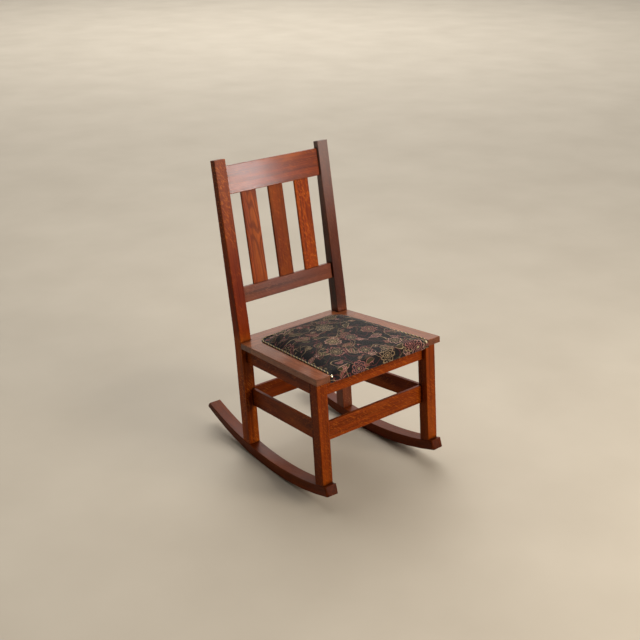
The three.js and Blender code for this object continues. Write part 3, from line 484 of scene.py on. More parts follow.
# %% Flower group
def polar(vector):
    """Distance and angle of a flat vector."""
    parts = split(vector)
    x, y = parts["X"], parts["Y"]
    return maths("SQRT", x * x + y * y), maths("ARCTAN2", y, x)


def nearest_point(cloth, spacing, randomness):
    """The way here from the nearest of many scattered points, and three chances of its own."""
    inputs = {"Vector": cloth, "Scale": 1.0 / spacing, "Randomness": randomness}
    cells = fed("TexVoronoi", inputs, voronoi_dimensions="2D")
    chances = fed("SeparateColor", {0: cells["Color"]})
    return vectors("SUBTRACT", cloth, cells["Position"]), chances


def ring(value, middle, half_width):
    """1 on a ring of a value and 0 off it."""
    return 1.0 - between(abs(value - middle), half_width * 0.7, half_width)


def under(value, limit, soft=0.06):
    """1 below a limit and 0 above it."""
    return 1.0 - between(value, limit, limit + soft)


def petals_round(turned, count, depth):
    """Reach of a ring of petals at an angle, 1 at each petal's tip."""
    return abs(maths("SINE", turned * (count * 0.5))) * depth + (1 - depth)


TURN = 6.28
PARTS = ("Inside", "Outer lines", "Inner lines", "Chance")
defaults = {"Cloth": (0, 0, 0), "Spacing": 40.0, "Size": 13.0, "Petals": 7.0}
flower, given, gives = new_group("Woven flower", defaults, PARTS + ("Core",))
away, chance = nearest_point(given["Cloth"], given["Spacing"], 0.75)
radius, angle = polar(away)
turned = chance["Red"] * TURN + angle
share = radius / (given["Size"] * (chance["Green"] * 0.4 + 0.8))
outer = share / petals_round(turned, given["Petals"], 0.24)
inner = share / petals_round(turned, given["Petals"] - 2.0, 0.3)
inside = under(outer, 0.97)
rings = maths("MAXIMUM", ring(inner, 0.62, 0.05), ring(inner, 0.36, 0.05))
rays = between(maths("SINE", turned * given["Petals"]), 0.7, 0.95) * ring(outer, 0.82, 0.09)
gives["Inside"] = inside
gives["Outer lines"] = ring(outer, 0.94, 0.065) * inside
gives["Inner lines"] = maths("MAXIMUM", rings, rays * 0.7)
gives["Core"] = under(share, 0.13)
gives["Chance"] = chance["Blue"]
count_nodes(flower)

# %% Leaf group
defaults = {"Cloth": (0, 0, 0), "Spacing": 24.0, "Length": 11.0, "Width": 4.2}
leaf, given, gives = new_group("Woven leaf", defaults, PARTS)
away, chance = nearest_point(given["Cloth"], given["Spacing"], 0.85)
radius, angle = polar(away)
bearing = chance["Red"] * TURN + angle
along = radius * maths("COSINE", bearing) / given["Length"]
sideways = radius * maths("SINE", bearing) - along * along * 4.5
half_width = maths("MAXIMUM", 1.0 - along * along, 0.001) * (1.0 - along * 0.45)
share = abs(sideways) / (half_width * given["Width"])
inside = under(share, 0.97)
veins = between(maths("SINE", along * 24.0 - share * 5.0), 0.5, 0.9) * under(share, 0.6)
gives["Inside"] = inside
gives["Outer lines"] = between(share, 0.74, 0.84) * inside
gives["Inner lines"] = maths("MAXIMUM", under(share, 0.12), veins * 0.6) * inside
gives["Chance"] = chance["Green"]
count_nodes(leaf)

# %% Pattern of the tapestry
YARN = {
    "black": rgb(24, 23, 26),
    "slate": rgb(40, 42, 46),
    "umber": rgb(62, 50, 38),
    "moss": rgb(60, 58, 38),
    "wine": rgb(92, 44, 46),
    "rose": rgb(146, 92, 86),
    "blush": rgb(188, 142, 128),
    "tan": rgb(138, 116, 88),
    "straw": rgb(160, 138, 106),
    "cream": rgb(206, 186, 158),
}
THREAD, REPEAT, DRIFT = 0.62, 0.62, 11.0

tapestry, tree, shader = new_material(
    "tapestry", Sheen_Weight=0.05, Sheen_Roughness=0.5, Specular_IOR_Level=0.15
)
cloth = stored(tree, "cloth")


def yarns(chance, *names):
    """One of a few yarns, picked by a chance from 0 to 1."""
    ramp = fed("ValToRGB", {"Fac": chance})
    steps = ramp.node.color_ramp
    steps.interpolation = "CONSTANT"
    steps.elements[1].position = 1 / len(names)
    for i, name in enumerate(names):
        step = steps.elements[i] if i < 2 else steps.elements.new(i / len(names))
        step.color = YARN[name]
    return ramp["Color"]


def laid(ground, shape, rare, parts):
    """The cloth's colour with a shape's parts woven over it where its chance is high enough."""
    shown = between(shape["Chance"], rare, rare + 0.01)
    for number, (part, names) in enumerate(parts.items()):
        pick = maths("FRACT", shape["Chance"] * (5.0 + 3.7 * number))
        ground = mixed(shape[part] * shown, ground, yarns(pick, *names.split()))
    return ground


snapped = vectors("SNAP", cloth, (THREAD, THREAD, 1.0))
drift = noisy(snapped, detail=1.0, scale=0.05, output="Color")
woven = vectors("ADD", snapped, vectors("MULTIPLY", drift, (DRIFT, DRIFT, 0.0)))
woven = stretched(woven, (REPEAT, REPEAT, 1.0))

# Stems are thin contours of smooth noise: shift of the noise, level, half width and yarn.
STEMS = (
    ((0, 0, 0), 0.5, 0.010, "umber"),
    ((37, 11, 0), 0.46, 0.009, "wine"),
    ((71, 52, 0), 0.54, 0.009, "tan"),
)
colour = YARN["black"]
for shift, level, half_width, yarn in STEMS:
    field = noisy(stretched(woven, (1, 1, 1), shift), detail=0.0, scale=0.026)
    colour = mixed(ring(field, level, half_width), colour, YARN[yarn])

# Sprigs: group, its values, shift, how rare it is, and the yarns of each part.
SPRIGS = (
    (leaf, {"Spacing": 13.0, "Length": 3.4, "Width": 1.3}, (9, 4, 0), 0.45,
     {"Inside": "tan rose umber moss wine"}),
    (leaf, {"Spacing": 30.0, "Length": 13.5, "Width": 5.0}, (5, 21, 0), 0.35,
     {"Inside": "black moss slate umber", "Inner lines": "umber tan rose moss",
      "Outer lines": "rose tan blush straw rose"}),
    (leaf, {"Spacing": 23.0, "Length": 9.0, "Width": 3.4}, (17, 2, 0), 0.45,
     {"Inside": "black wine slate moss", "Inner lines": "tan umber rose",
      "Outer lines": "tan rose blush tan"}),
    (flower, {"Spacing": 27.0, "Size": 6.0, "Petals": 5.0}, (25, 7, 0), 0.5,
     {"Inside": "black wine umber", "Inner lines": "tan blush straw",
      "Outer lines": "blush tan rose", "Core": "rose straw cream"}),
    (flower, {"Spacing": 46.0, "Size": 14.5, "Petals": 9.0}, (12, 30, 0), 0.2,
     {"Inside": "black slate umber black", "Inner lines": "tan rose tan straw",
      "Outer lines": "rose tan rose blush", "Core": "straw rose tan"}),
)
for group, values, shift, rare, parts in SPRIGS:
    moved = {"Cloth": stretched(woven, (1, 1, 1), shift)}
    colour = laid(colour, use_group(tree, group, moved | values), rare, parts)
print("pattern:", len(tree.nodes), "nodes")

# %% Threads of the tapestry
values = {"Cloth": cloth, "Threads": 1 / THREAD, "Looseness": 0.25}
threads = use_group(tree, weave, values)
shade = (threads["Height"] * 0.34 + 0.60) * (noisy(cloth, detail=3.0, scale=0.03) * 0.4 + 0.8)
shader["Base Color"] = mixed(1.0, colour, shade, "MULTIPLY")
shader["Roughness"] = threads["Warp"] * 0.12 + 0.74
shader["Normal"] = bumped(threads["Height"], 0.6, 0.0002)
print("tapestry:", len(tree.nodes), "nodes")

# %% [markdown]
# ## Plain textiles, yarn and metal
#
# Burlap and webbing are the same jute at two fineness levels, so they share the weave group
# with different values. The trim's yarn reads which ply it is on from the mesh. The nails
# are brass that has gone dull in patches, and the screws are plain steel with a little rust.


# %% Jute and burlap
def coarse_cloth(name, light, dark, threads_per_mm, looseness, stripe=None):
    """Plain jute cloth with slubs in its yarn, and with stripes near both edges if need be."""
    material, tree, shader = new_material(name, Sheen_Weight=0.15, Specular_IOR_Level=0.2)
    cloth = stored(tree, "cloth")
    values = {"Cloth": cloth, "Threads": threads_per_mm, "Looseness": looseness}
    threads = use_group(tree, weave, values)
    slub = noisy(stretched(cloth, (0.9, 0.08, 1)), detail=3)
    colour = mixed(between(slub, 0.3, 0.7), dark, light)
    if stripe:
        colour = mixed(ring(abs(split(cloth)["X"]), 20.0, 1.6), colour, stripe)
    gaps = 1.0 - between(threads["Height"], 0.05, 0.45)
    shader["Base Color"] = mixed(gaps * 0.7, colour, dark)
    shader["Roughness"] = slub * 0.15 + 0.78
    shader["Normal"] = bumped(threads["Height"], 0.8, 0.0005)
    return material


burlap_cloth = coarse_cloth("burlap", rgb(168, 138, 92), rgb(96, 72, 44), 0.6, 0.9)
red_stripe = rgb(120, 44, 34)
jute = coarse_cloth("jute webbing", rgb(178, 152, 108), rgb(112, 88, 56), 0.8, 0.4, red_stripe)
print("jute cloths:", burlap_cloth.name, "and", jute.name)

# %% Stuffing fibre
fibre, tree, shader = new_material("stuffing fibre", Sheen_Weight=0.2)
strands = noisy(own_place(tree), detail=6, distortion=2.5, scale=260, roughness=0.7)
pale_strands = between(strands, 0.35, 0.65)
shader["Base Color"] = mixed(pale_strands, rgb(118, 96, 66), rgb(196, 178, 142))
shader["Roughness"] = strands * 0.2 + 0.78
shader["Normal"] = bumped(strands, 0.8, 0.001)
print("stuffing:", fibre.name)

# %% Trim yarn
trim_yarn, tree, shader = new_material("trim yarn", Sheen_Weight=0.2)
parts = split(stored(tree, "thread"))
strand = abs(maths("SINE", (parts["X"] * 0.45 + parts["Y"] * 5.0) * math.pi))
gold = mixed(strand, rgb(112, 86, 38), rgb(204, 178, 112))
black = mixed(strand, rgb(9, 9, 10), rgb(34, 32, 32))
shader["Base Color"] = mixed(parts["Z"], gold, black)
shader["Roughness"] = 0.7 - strand * 0.2
shader["Normal"] = bumped(strand, 0.7, 0.0003)
print("trim:", trim_yarn.name)


# %% Metals
def worn_metal(name, bright, dull, smooth, rough, spot_size):
    """Metal that is bright where it is rubbed and dull in patches."""
    material, tree, shader = new_material(name, Metallic=1.0)
    where = own_place(tree)
    rubbed = use_group(tree, edge_wear, {"Radius": 0.0006, "Patchiness": 300.0})["Mask"]
    spots = between(noisy(where, detail=5, scale=spot_size), 0.45, 0.62)
    spots = maths("SUBTRACT", spots, rubbed, clamp=True)
    shader["Base Color"] = mixed(spots, bright, dull)
    shader["Roughness"] = spots * (rough - smooth) + smooth
    shader["Normal"] = bumped(noisy(where, detail=3, scale=spot_size * 8), 0.2, 0.0001)
    return material


nail_metal = worn_metal("nail metal", rgb(226, 214, 184), rgb(150, 132, 92), 0.2, 0.45, 500)
steel = worn_metal("steel", rgb(128, 124, 120), rgb(74, 52, 38), 0.34, 0.7, 400)
print("metals:", nail_metal.name, "and", steel.name)

# %% [markdown]
# ## Boards
#
# A planed board that has been handled for a century has no sharp edge. Each solid of the
# frame is copied, its flat faces are cleaned of needless edges, and every long edge is
# rounded a little. The same step stores on the mesh how far each point lies across, through
# and along its board, for the wood figure, and which faces show end grain. Where a board
# bends or leans, so does its frame.

# %% How points lie in their boards
SEAT_TOP, BEND_HEIGHT, FRAME_DEPTH = 349.0, 11.0, 347.0
RAKE = math.radians(5.9)
ARC_VERTEX, ARC_RADIUS = 186.0, 845.0


def raked(p):
    """A place in the chair's frame as measured along the raked back."""
    y, z = p.y - FRAME_DEPTH, p.z - SEAT_TOP - BEND_HEIGHT
    cos, sin = math.cos(RAKE), math.sin(RAKE)
    return (p.x, y * cos - z * sin, y * sin + z * cos)


def along_post(p):
    """Raked above the bend, and upright below it."""
    above = raked(p)
    upright = (p.x, p.y - FRAME_DEPTH, p.z - SEAT_TOP - BEND_HEIGHT)
    return above if above[2] > 0 else upright


def along_arc(p):
    """Out from the middle of the runners' arc, and round it."""
    y, z = p.y - ARC_VERTEX, ARC_RADIUS - p.z
    return (p.x, math.hypot(y, z), math.atan2(y, z) * ARC_RADIUS)


LIES = {
    "leg": lambda p: (p.x, p.y, p.z),
    "post": along_post,
    "runner": along_arc,
    "cross rail": lambda p: (p.z, p.y, p.x),
    "side rail": lambda p: (p.z, p.x, p.y),
    "seat side": lambda p: (p.x, p.z, p.y),
    "seat end": lambda p: (p.y, p.z, p.x),
    "back rail": lambda p: raked(p)[::-1],
    "slat": raked,
}
print("kinds of board:", ", ".join(LIES))

# %% Copy, ease and store
WELD, FLAT_ANGLE, SHARP_ANGLE, SHORTEST_EDGE = 2e-6, 0.6, 24, 0.012
EASED, RUNNER_ROUNDING = 0.00035, 0.0015
END_FACING, LEAST_END_AREA, SHORTEST_END_EDGE = 0.85, 5e-4, 0.008
END_GRAIN_FACING, SMOOTH_ANGLE = 0.75, 50
BOARD_SHIFT, DIFFERENT_SHIFTS = Vector((211.0, 97.0, 1370.0)), 17


def is_end(face):
    """Whether a face of a runner is one of its two ends."""
    return abs(face.normal.y) > END_FACING and face.calc_area() > LEAST_END_AREA


def eased_copy(solid, end_rounding):
    """A copy of a solid without needless edges and with its long edges rounded."""
    mesh = bmesh.new()
    mesh.from_mesh(solid.data)
    bmesh.ops.remove_doubles(mesh, verts=mesh.verts, dist=WELD)
    flat = math.radians(FLAT_ANGLE)
    bmesh.ops.dissolve_limit(mesh, angle_limit=flat, verts=mesh.verts, edges=mesh.edges)
    if end_rounding:
        long = [edge for edge in mesh.edges if edge.calc_length() > SHORTEST_END_EDGE]
        edges = [edge for edge in long if any(is_end(face) for face in edge.link_faces)]
        rounding = {"offset": end_rounding, "segments": 3, "profile": 0.5}
        bmesh.ops.bevel(mesh, geom=edges, affect="EDGES", **rounding)
    sharp = [
        edge
        for edge in mesh.edges
        if len(edge.link_faces) == 2
        and edge.calc_face_angle(0) > math.radians(SHARP_ANGLE)
        and edge.calc_length() > SHORTEST_EDGE
    ]
    easing = {"offset": EASED, "segments": 2, "profile": 0.6, "clamp_overlap": True}
    bmesh.ops.bevel(mesh, geom=sharp, affect="EDGES", **easing)
    data = bpy.data.meshes.new("dressed board")
    mesh.to_mesh(data)
    mesh.free()
    return data


def store(data, name, items, kind="FLOAT_VECTOR", domain="POINT"):
    """Keeps a value for each point or face of a mesh under a name that a material can read."""
    kept = data.attributes.new(name, kind, domain).data
    for keeper, item in zip(kept, items):
        setattr(keeper, "vector" if kind == "FLOAT_VECTOR" else "value", item)


def in_board(kind, spot):
    """How a place in the world lies across, through and along a board."""
    return Vector(LIES[kind](CHAIR_INVERSE @ spot))


def faces_along(kind, face):
    """Whether a face looks along its board and so shows end grain."""
    ahead = in_board(kind, face.center + face.normal * MM) - in_board(kind, face.center)
    return abs(ahead.z) > END_GRAIN_FACING


def dressed_board(node, kind, material, index, end_rounding=0.0):
    """The visible copy of a board, with its own wood directions stored on it."""
    data = eased_copy(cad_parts[node], end_rounding)
    shift = BOARD_SHIFT * (index % DIFFERENT_SHIFTS)
    store(data, "board", [in_board(kind, vertex.co) + shift for vertex in data.vertices])
    ends = [float(faces_along(kind, face)) for face in data.polygons]
    store(data, "end grain", ends, "FLOAT", "FACE")
    data.shade_smooth()
    data.set_sharp_from_angle(angle=math.radians(SMOOTH_ANGLE))
    data.materials.append(material)
    piece = linked("dressed_" + node, data)
    piece.modifiers.new("even normals", "WEIGHTED_NORMAL").keep_sharp = True
    triangles = piece.modifiers.new("triangles", "TRIANGULATE")
    triangles.min_vertices, triangles.keep_custom_normals = 5, True
    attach(piece, "root")
    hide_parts(node)
    return piece


FRAME_BOARDS = {
    "runner": "rocker_left rocker_right",
    "leg": "front_leg_left front_leg_right",
    "post": "rear_post_left rear_post_right",
    "cross rail": "apron_front apron_rear stretcher_front stretcher_rear",
    "side rail": "apron_left apron_right stretcher_left stretcher_right",
    "seat side": "seat_board_left seat_board_right",
    "seat end": "seat_board_rear",
    "back rail": "crest_rail lower_back_rail",
    "slat": "back_slat_left back_slat_centre back_slat_right",
}
PLAIN_BOARDS = """corner_block_front_left corner_block_front_right corner_block_rear_left
corner_block_rear_right seat_board_front"""
WOOD_FOR = {
    "runner": "dark oak",
    "seat side": "waxed oak",
    "seat end": "waxed oak",
    "crest_rail": "polished oak",
    "rear_post_left": "left post oak",
    "rear_post_right": "right post oak",
    "lower_back_rail": "sheen-painted oak",
    "back_slat_left": "arched oak",
    "back_slat_right": "quartered oak",
}
boards = []
for kind, names in FRAME_BOARDS.items():
    rounding = RUNNER_ROUNDING if kind == "runner" else 0.0
    for name in names.split():
        wood = woods[WOOD_FOR.get(name, WOOD_FOR.get(kind, "stained oak"))]
        index = 3 * len(boards) + 1
        boards.append(dressed_board(name, kind, wood, index, rounding))
for name in PLAIN_BOARDS.split():
    wood = woods["unfinished wood"]
    boards.append(dressed_board(name, "cross rail", wood, len(boards)))
print("boards:", len(boards), "faces:", sum(len(b.data.polygons) for b in boards))

# %% [markdown]
# ## The seat panel's plan
#
# The upholstered panel narrows towards the back and has rounded rear corners. A grid of
# columns and rows covers it: each column runs from the rear edge to the front and down over
# the roll, so the same grid serves the cloth and the stuffing. Rows and columns lie closer
# where the shape turns.

# %% Plan and profile of the panel
PANEL_REAR, PANEL_CORNER = 333.0, 34.0
HALF_FRONT, HALF_REAR, FRONT_EDGE = 169.0, 144.0, -12.0
ROLL_START, ROLL_REACH, ROLL_DROP = 0.8, 13.8, 12.8
HEM, EDGE_TOP = 328.0, 349.65
CROWN, CROWN_REACH, CROWN_CORNER, TRIM_MARGIN = 22.0, 57.0, 70.0, 6.0
FRONT_CROWN = 0.45
QUARTER_TURN = math.pi / 2


def panel_half(y):
    """Half the panel's width at a distance behind the front legs."""
    back = (y - FRONT_EDGE) / (PANEL_REAR - FRONT_EDGE)
    return HALF_FRONT + (HALF_REAR - HALF_FRONT) * back


def rear_edge(share):
    """Where a column ends at the back. Columns at the side end on the rounded corner."""
    straight = 1 - PANEL_CORNER / HALF_REAR
    into = max(0.0, abs(share) - straight) / (1 - straight)
    return PANEL_REAR - PANEL_CORNER * (1 - math.sqrt(max(0.0, 1 - into**2)))


def in_from_edge(share, y):
    """Distance in from the edge, on a plan whose rear corners are rounder than the panel's."""
    side, rear = (1 - abs(share)) * panel_half(y), PANEL_REAR - y
    across, back = max(0.0, CROWN_CORNER - side), max(0.0, CROWN_CORNER - rear)
    if across and back:
        return CROWN_CORNER - math.hypot(across, back)
    return min(side, rear)


def crown(share, y):
    """Rise of the covering over its edge."""
    into = min(max(in_from_edge(share, y) - TRIM_MARGIN, 0) / CROWN_REACH, 1)
    ahead = min(1.0, max(0.0, y) / (PANEL_REAR / 2))
    front = FRONT_CROWN + (1 - FRONT_CROWN) * math.sin(QUARTER_TURN * ahead)
    return CROWN * (1 - (1 - into) ** 3) * front


def column_shares(count):
    """Places of the columns across, from -1 to 1, closer together at the two sides."""
    even = [2 * i / (count - 1) - 1 for i in range(count)]
    return [math.sin(QUARTER_TURN * (0.82 * s + 0.18 * s**3)) for s in even]


def grid(rows, columns):
    """Faces of a grid of points that is laid out row by row."""
    return [
        (n, n + columns, n + columns + 1, n + 1)
        for n in range((rows - 1) * columns)
        if n % columns < columns - 1
    ]


def closed_grids(rows, columns):
    """Faces of two grids, the second on the other side of the first, closed round the edge."""
    count, faces = rows * columns, grid(rows, columns)
    edges = {edge for face in faces for edge in zip(face, face[1:] + face[:1])}
    rim = sorted(edge for edge in edges if edge[::-1] not in edges)
    faces += [tuple(count + i for i in reversed(face)) for face in faces]
    return faces + [(b, a, count + a, count + b) for a, b in rim]


print("panel:", 2 * HALF_FRONT, "mm wide in front and", 2 * HALF_REAR, "mm behind")

# %% [markdown]
# ## Covering: shape
#
# The covering is one piece of tapestry, tacked under the trim on three sides and drawn down
# over the front rail. At each front corner the spare cloth is folded in, which leaves a short
# dark tuck beside the nail. Two things happen here: the cloth is laid out as a grid with its
# tucks, and each point keeps where it lies in the flat cloth, so that a pattern woven into it
# runs on over the roll.

# %% Lay out the covering
COLUMNS, ROWS_TOP, ROWS_ROLL = 73, 64, 12
ROWS = ROWS_TOP + ROWS_ROLL + 1
TUCK_IN, TUCK_WIDTH, TUCK_DEPTH, TUCK_REACH, TUCK_SINK = 13.0, 2.6, 2.0, 14, 0.6
LUMP_HEIGHT, LUMP_WIDTH, LUMP_LENGTH, LUMP_SEED, LUMP_RISE = 0.7, 46, 52, 3.7, 5


def tuck(x, y, down):
    """How deep the cloth is folded in beside a front corner."""
    inward = panel_half(y) - abs(x) - TUCK_IN
    ridge = inward - 2.4 * TUCK_WIDTH
    fold = math.exp(-((inward / TUCK_WIDTH) ** 2)) - 0.35 * math.exp(-((ridge / TUCK_WIDTH) ** 2))
    return TUCK_DEPTH * fold * min(1.0, max(0.0, down))


def covering_point(share, row):
    """A point of the covering's face and its place in the flat cloth, in millimetres."""
    rear = rear_edge(share)
    if row <= ROWS_TOP:
        along = row / ROWS_TOP
        y = rear + (ROLL_START - rear) * (0.7 * along + 0.3 * along * along)
        x = share * panel_half(y)
        rise, down = crown(share, y), 1 - (y - ROLL_START) / TUCK_REACH
        lumps = noise.noise(Vector((x / LUMP_WIDTH, y / LUMP_LENGTH, LUMP_SEED)))
        lumps *= LUMP_HEIGHT * min(1.0, rise / LUMP_RISE)
        return (x, y, EDGE_TOP + rise + lumps - TUCK_SINK * tuck(x, y, down)), (x, y)
    top = EDGE_TOP + crown(share, ROLL_START)
    turn = (row - ROWS_TOP) / ROWS_ROLL
    curve = QUARTER_TURN * ROLL_REACH / (ROLL_REACH + top - ROLL_DROP - HEM)
    angle = QUARTER_TURN * min(1.0, turn / curve)
    y = ROLL_START - ROLL_REACH * math.sin(angle)
    z = top - ROLL_DROP * (1 - math.cos(angle))
    length = ROLL_REACH * angle
    if turn >= curve:
        hanging = (top - ROLL_DROP - HEM) * (turn - curve) / (1 - curve)
        z, length = z - hanging, length + hanging
    x = share * panel_half(y)
    pressed = tuck(x, y, 1.0)
    y += pressed * math.sin(angle)
    z -= TUCK_SINK * pressed * math.cos(angle)
    return (x, y, z), (x, ROLL_START - length)


shares = column_shares(COLUMNS)
laid_out = [covering_point(share, row) for row in range(ROWS) for share in shares]
covering_points = [place(*point) for point, _ in laid_out]
print("covering grid:", COLUMNS, "by", ROWS)

# %% [markdown]
# ## Covering: drawn tight
#
# A short cloth simulation settles it. The edges, the roll and the tucks are held, as tacks hold
# them, and a gentle pressure from below stands for the stuffing. The cloth is stiff against
# bending, since the stuffing behind it is firm. A trial cloth with fewer, even squares does
# this quickly, and its moves are then carried over to the fine grid. No point may move far,
# which keeps the crown.

# %% Settle the covering
TRIAL_COLUMNS, TRIAL_ROWS, FRAMES = 33, 37, 14
PRESSURE, FIRMNESS, MOST_MOVE = 0.9, 20, 0.0035
CLOTH_SETTINGS = {"quality": 8, "air_damping": 8, "vertex_group_mass": "held",
                  "use_pressure": True, "uniform_pressure_force": PRESSURE}
STIFFNESS = {"tension": 60, "compression": 60, "shear": 30, "bending": FIRMNESS}
CLOTH_SETTINGS |= {f"{way}_stiffness": value for way, value in STIFFNESS.items()}
CLOTH_SETTINGS |= {f"{way}_damping": 30 for way in ("tension", "compression", "shear")}


def is_held(share, row):
    """Whether a point of the trial cloth is tacked down."""
    if abs(share) > 0.99 or row < 0.5 or row > ROWS_TOP + 1:
        return True
    x, y = covering_point(share, row)[1]
    return y < 2 and panel_half(0) - abs(x) < TUCK_IN + 2 * TUCK_WIDTH


def settled(points, faces, held):
    """How far each point of a cloth moves when some are held and the rest is pushed up."""
    scene, mesh = bpy.context.scene, bpy.data.meshes.new("trial cloth")
    mesh.from_pydata(points, [], faces)
    trial = linked("trial cloth", mesh)
    trial.vertex_groups.new(name="held").add(held, 1.0, "REPLACE")
    cloth = trial.modifiers.new("cloth", "CLOTH")
    for name, value in CLOTH_SETTINGS.items():
        setattr(cloth.settings, name, value)
    cloth.settings.effector_weights.gravity = 0
    cloth.collision_settings.use_collision = False
    cloth.point_cache.frame_start, cloth.point_cache.frame_end = 1, FRAMES
    for n in range(1, FRAMES + 1):
        scene.frame_set(n)
    shaped = trial.evaluated_get(bpy.context.evaluated_depsgraph_get()).to_mesh()
    moves = [v.co - start for v, start in zip(shaped.vertices, points)]
    bpy.data.objects.remove(trial)
    scene.frame_set(1)
    return [move * min(1.0, MOST_MOVE / max(move.length, 1e-9)) for move in moves]


def blend_four(t):
    """Shares of four neighbours in a smooth curve that runs between the middle two."""
    return (
        (-(t**3) + 2 * t * t - t) / 2,
        (3 * t**3 - 5 * t * t + 2) / 2,
        (-3 * t**3 + 4 * t * t + t) / 2,
        (t**3 - t * t) / 2,
    )


def carried(moves, share, row):
    """The trial cloth's move at any place of the fine grid."""
    across, along = (share + 1) / 2 * (TRIAL_COLUMNS - 1), row / (ROWS - 1) * (TRIAL_ROWS - 1)
    left, back = min(int(across), TRIAL_COLUMNS - 2), min(int(along), TRIAL_ROWS - 2)
    total = Vector()
    for i, part in enumerate(blend_four(along - back)):
        for j, portion in enumerate(blend_four(across - left)):
            r = min(max(back - 1 + i, 0), TRIAL_ROWS - 1)
            c = min(max(left - 1 + j, 0), TRIAL_COLUMNS - 1)
            total += moves[r * TRIAL_COLUMNS + c] * part * portion
    return total


spots = [
    (2 * c / (TRIAL_COLUMNS - 1) - 1, (ROWS - 1) * r / (TRIAL_ROWS - 1))
    for r in range(TRIAL_ROWS)
    for c in range(TRIAL_COLUMNS)
]
trial_points = [place(*covering_point(*spot)[0]) for spot in spots]
held = [n for n, spot in enumerate(spots) if is_held(*spot)]
moves = settled(trial_points, grid(TRIAL_ROWS, TRIAL_COLUMNS), held)
for n, point in enumerate(covering_points):
    point += carried(moves, shares[n % COLUMNS], n // COLUMNS)
lengths = [move.length / MM for move in moves]
print("cloth moved, mm:", round(sum(lengths) / len(lengths), 2), "to", round(max(lengths), 2))


# %% Covering piece
def new_piece(name, points, faces, material, slot, node):
    """A mesh in the world's metres that rides on the chair and stands in for a solid."""
    data = bpy.data.meshes.new(name)
    data.from_pydata(points, [], faces)
    data.validate()
    data.materials.append(material)
    data.shade_smooth()
    piece = linked(name, data)
    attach(piece, "root")
    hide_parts(node)
    return piece


def thicken(piece, millimetres):
    """Gives a sheet its thickness, inwards from its face, and gives back its flat area."""
    skin = piece.modifiers.new("thickness", "SOLIDIFY")
    skin.thickness, skin.offset = millimetres * MM, -1
    return sum(polygon.area for polygon in piece.data.polygons)


COVER_THICKNESS, ROLL_LENGTH = 1.5, 34
ends = tapestry, "cover_tapestry", "seat_cover"
covering = new_piece("seat_covering", covering_points, grid(ROWS, COLUMNS), *ends)
store(covering.data, "cloth", [(x, y, 0.0) for _, (x, y) in laid_out])
rounder = covering.modifiers.new("rounder", "SUBSURF")
rounder.levels = rounder.render_levels = 1
covering_area = thicken(covering, COVER_THICKNESS)
print("covering:", round(covering_area, 4), "square metres")

# %% [markdown]
# ## Stuffing
#
# Under the covering lies a thin pad of matted fibre, thick in the middle and hardly anything
# at the edge. It is made from the settled covering, moved inwards by the cloth's thickness,
# with a flat underside on the burlap.

# %% Stuffing piece
PAD_INSET, PAD_GAP, PAD_LOW, PAD_FACE, PAD_HEM, PAD_STEP = 1.5, 2.0, 346.95, -9.3, 331.9, 336.0


def pad_outer(index):
    """A point of the pad's upper face, inside the covering."""
    row = index // COLUMNS
    here = CHAIR_INVERSE @ covering_points[index]
    turned = QUARTER_TURN * max(0.0, min(1.0, (row - ROWS_TOP) / ROWS_ROLL * 1.6))
    x = here.x * (1 - PAD_INSET / HALF_FRONT)
    y = here.y - PAD_INSET * max(0.0, here.y) / PANEL_REAR + PAD_GAP * math.sin(turned)
    z = here.z - PAD_GAP * math.cos(turned)
    return Vector((x, y, max(z, PAD_HEM) if row > ROWS_TOP else z))


def pad_inner(index, outer):
    """The point of the pad's lower face under a point of its upper one."""
    row = index // COLUMNS
    if row <= ROWS_TOP:
        return Vector((outer.x, outer.y, min(PAD_LOW, outer.z - 0.2)))
    angle = QUARTER_TURN * min(1.0, (row - ROWS_TOP) / ROWS_ROLL * 1.3)
    y = ROLL_START - (ROLL_START - PAD_FACE) * math.sin(angle)
    z = min(outer.z, PAD_LOW - (PAD_LOW - PAD_STEP) * (1 - math.cos(angle)))
    return Vector((outer.x, max(y, outer.y + 0.3), max(z, PAD_HEM)))


outer = [pad_outer(i) for i in range(len(covering_points))]
inner = [pad_inner(i, point) for i, point in enumerate(outer)]
points, faces = [place(*p) for p in outer + inner], closed_grids(ROWS, COLUMNS)
ends = fibre, "stuffing_fibre", "seat_stuffing"
stuffing = new_piece("seat_stuffing_fibre", points, faces, *ends)
print("stuffing faces:", len(stuffing.data.polygons))

# %% [markdown]
# ## Trim cord
#
# Two plies, one gold and one black, are twisted together and laid flat over the tacks. Each
# ply is a tube swept along a helix around the trim's route, so every gold dash is the ply
# coming up over the black one. The route follows three sides of the panel and ends at the
# nails.

# %% Trim's route
TRIM_INSET, TRIM_LEVEL, STEP, CORNER_STEPS = 2.7, 351.2, 1.2, 24


def trim_corners():
    """The trim's line from the left front corner round the back to the right one."""
    rear, corner = PANEL_REAR - TRIM_INSET, PANEL_CORNER - TRIM_INSET
    sides = (ROLL_START - 1.5, rear - corner)
    points = [Vector((-panel_half(y) + TRIM_INSET, y)) for y in sides]
    start, middle = points[-1], Vector((-panel_half(rear) + TRIM_INSET, rear))
    end = middle + Vector((corner, 0))
    for i in range(1, CORNER_STEPS + 1):
        t = i / CORNER_STEPS
        points.append(start * (1 - t) ** 2 + middle * 2 * t * (1 - t) + end * t * t)
    return points + [Vector((-p.x, p.y)) for p in reversed(points)]


points = trim_corners()
route, spare = [points[0]], 0.0
for a, b in zip(points, points[1:]):
    length, at = (b - a).length, STEP - spare
    while at <= length:
        route.append(a.lerp(b, at / length))
        at += STEP
    spare = length - (at - STEP)
print("trim:", round(len(route) * STEP), "mm long")

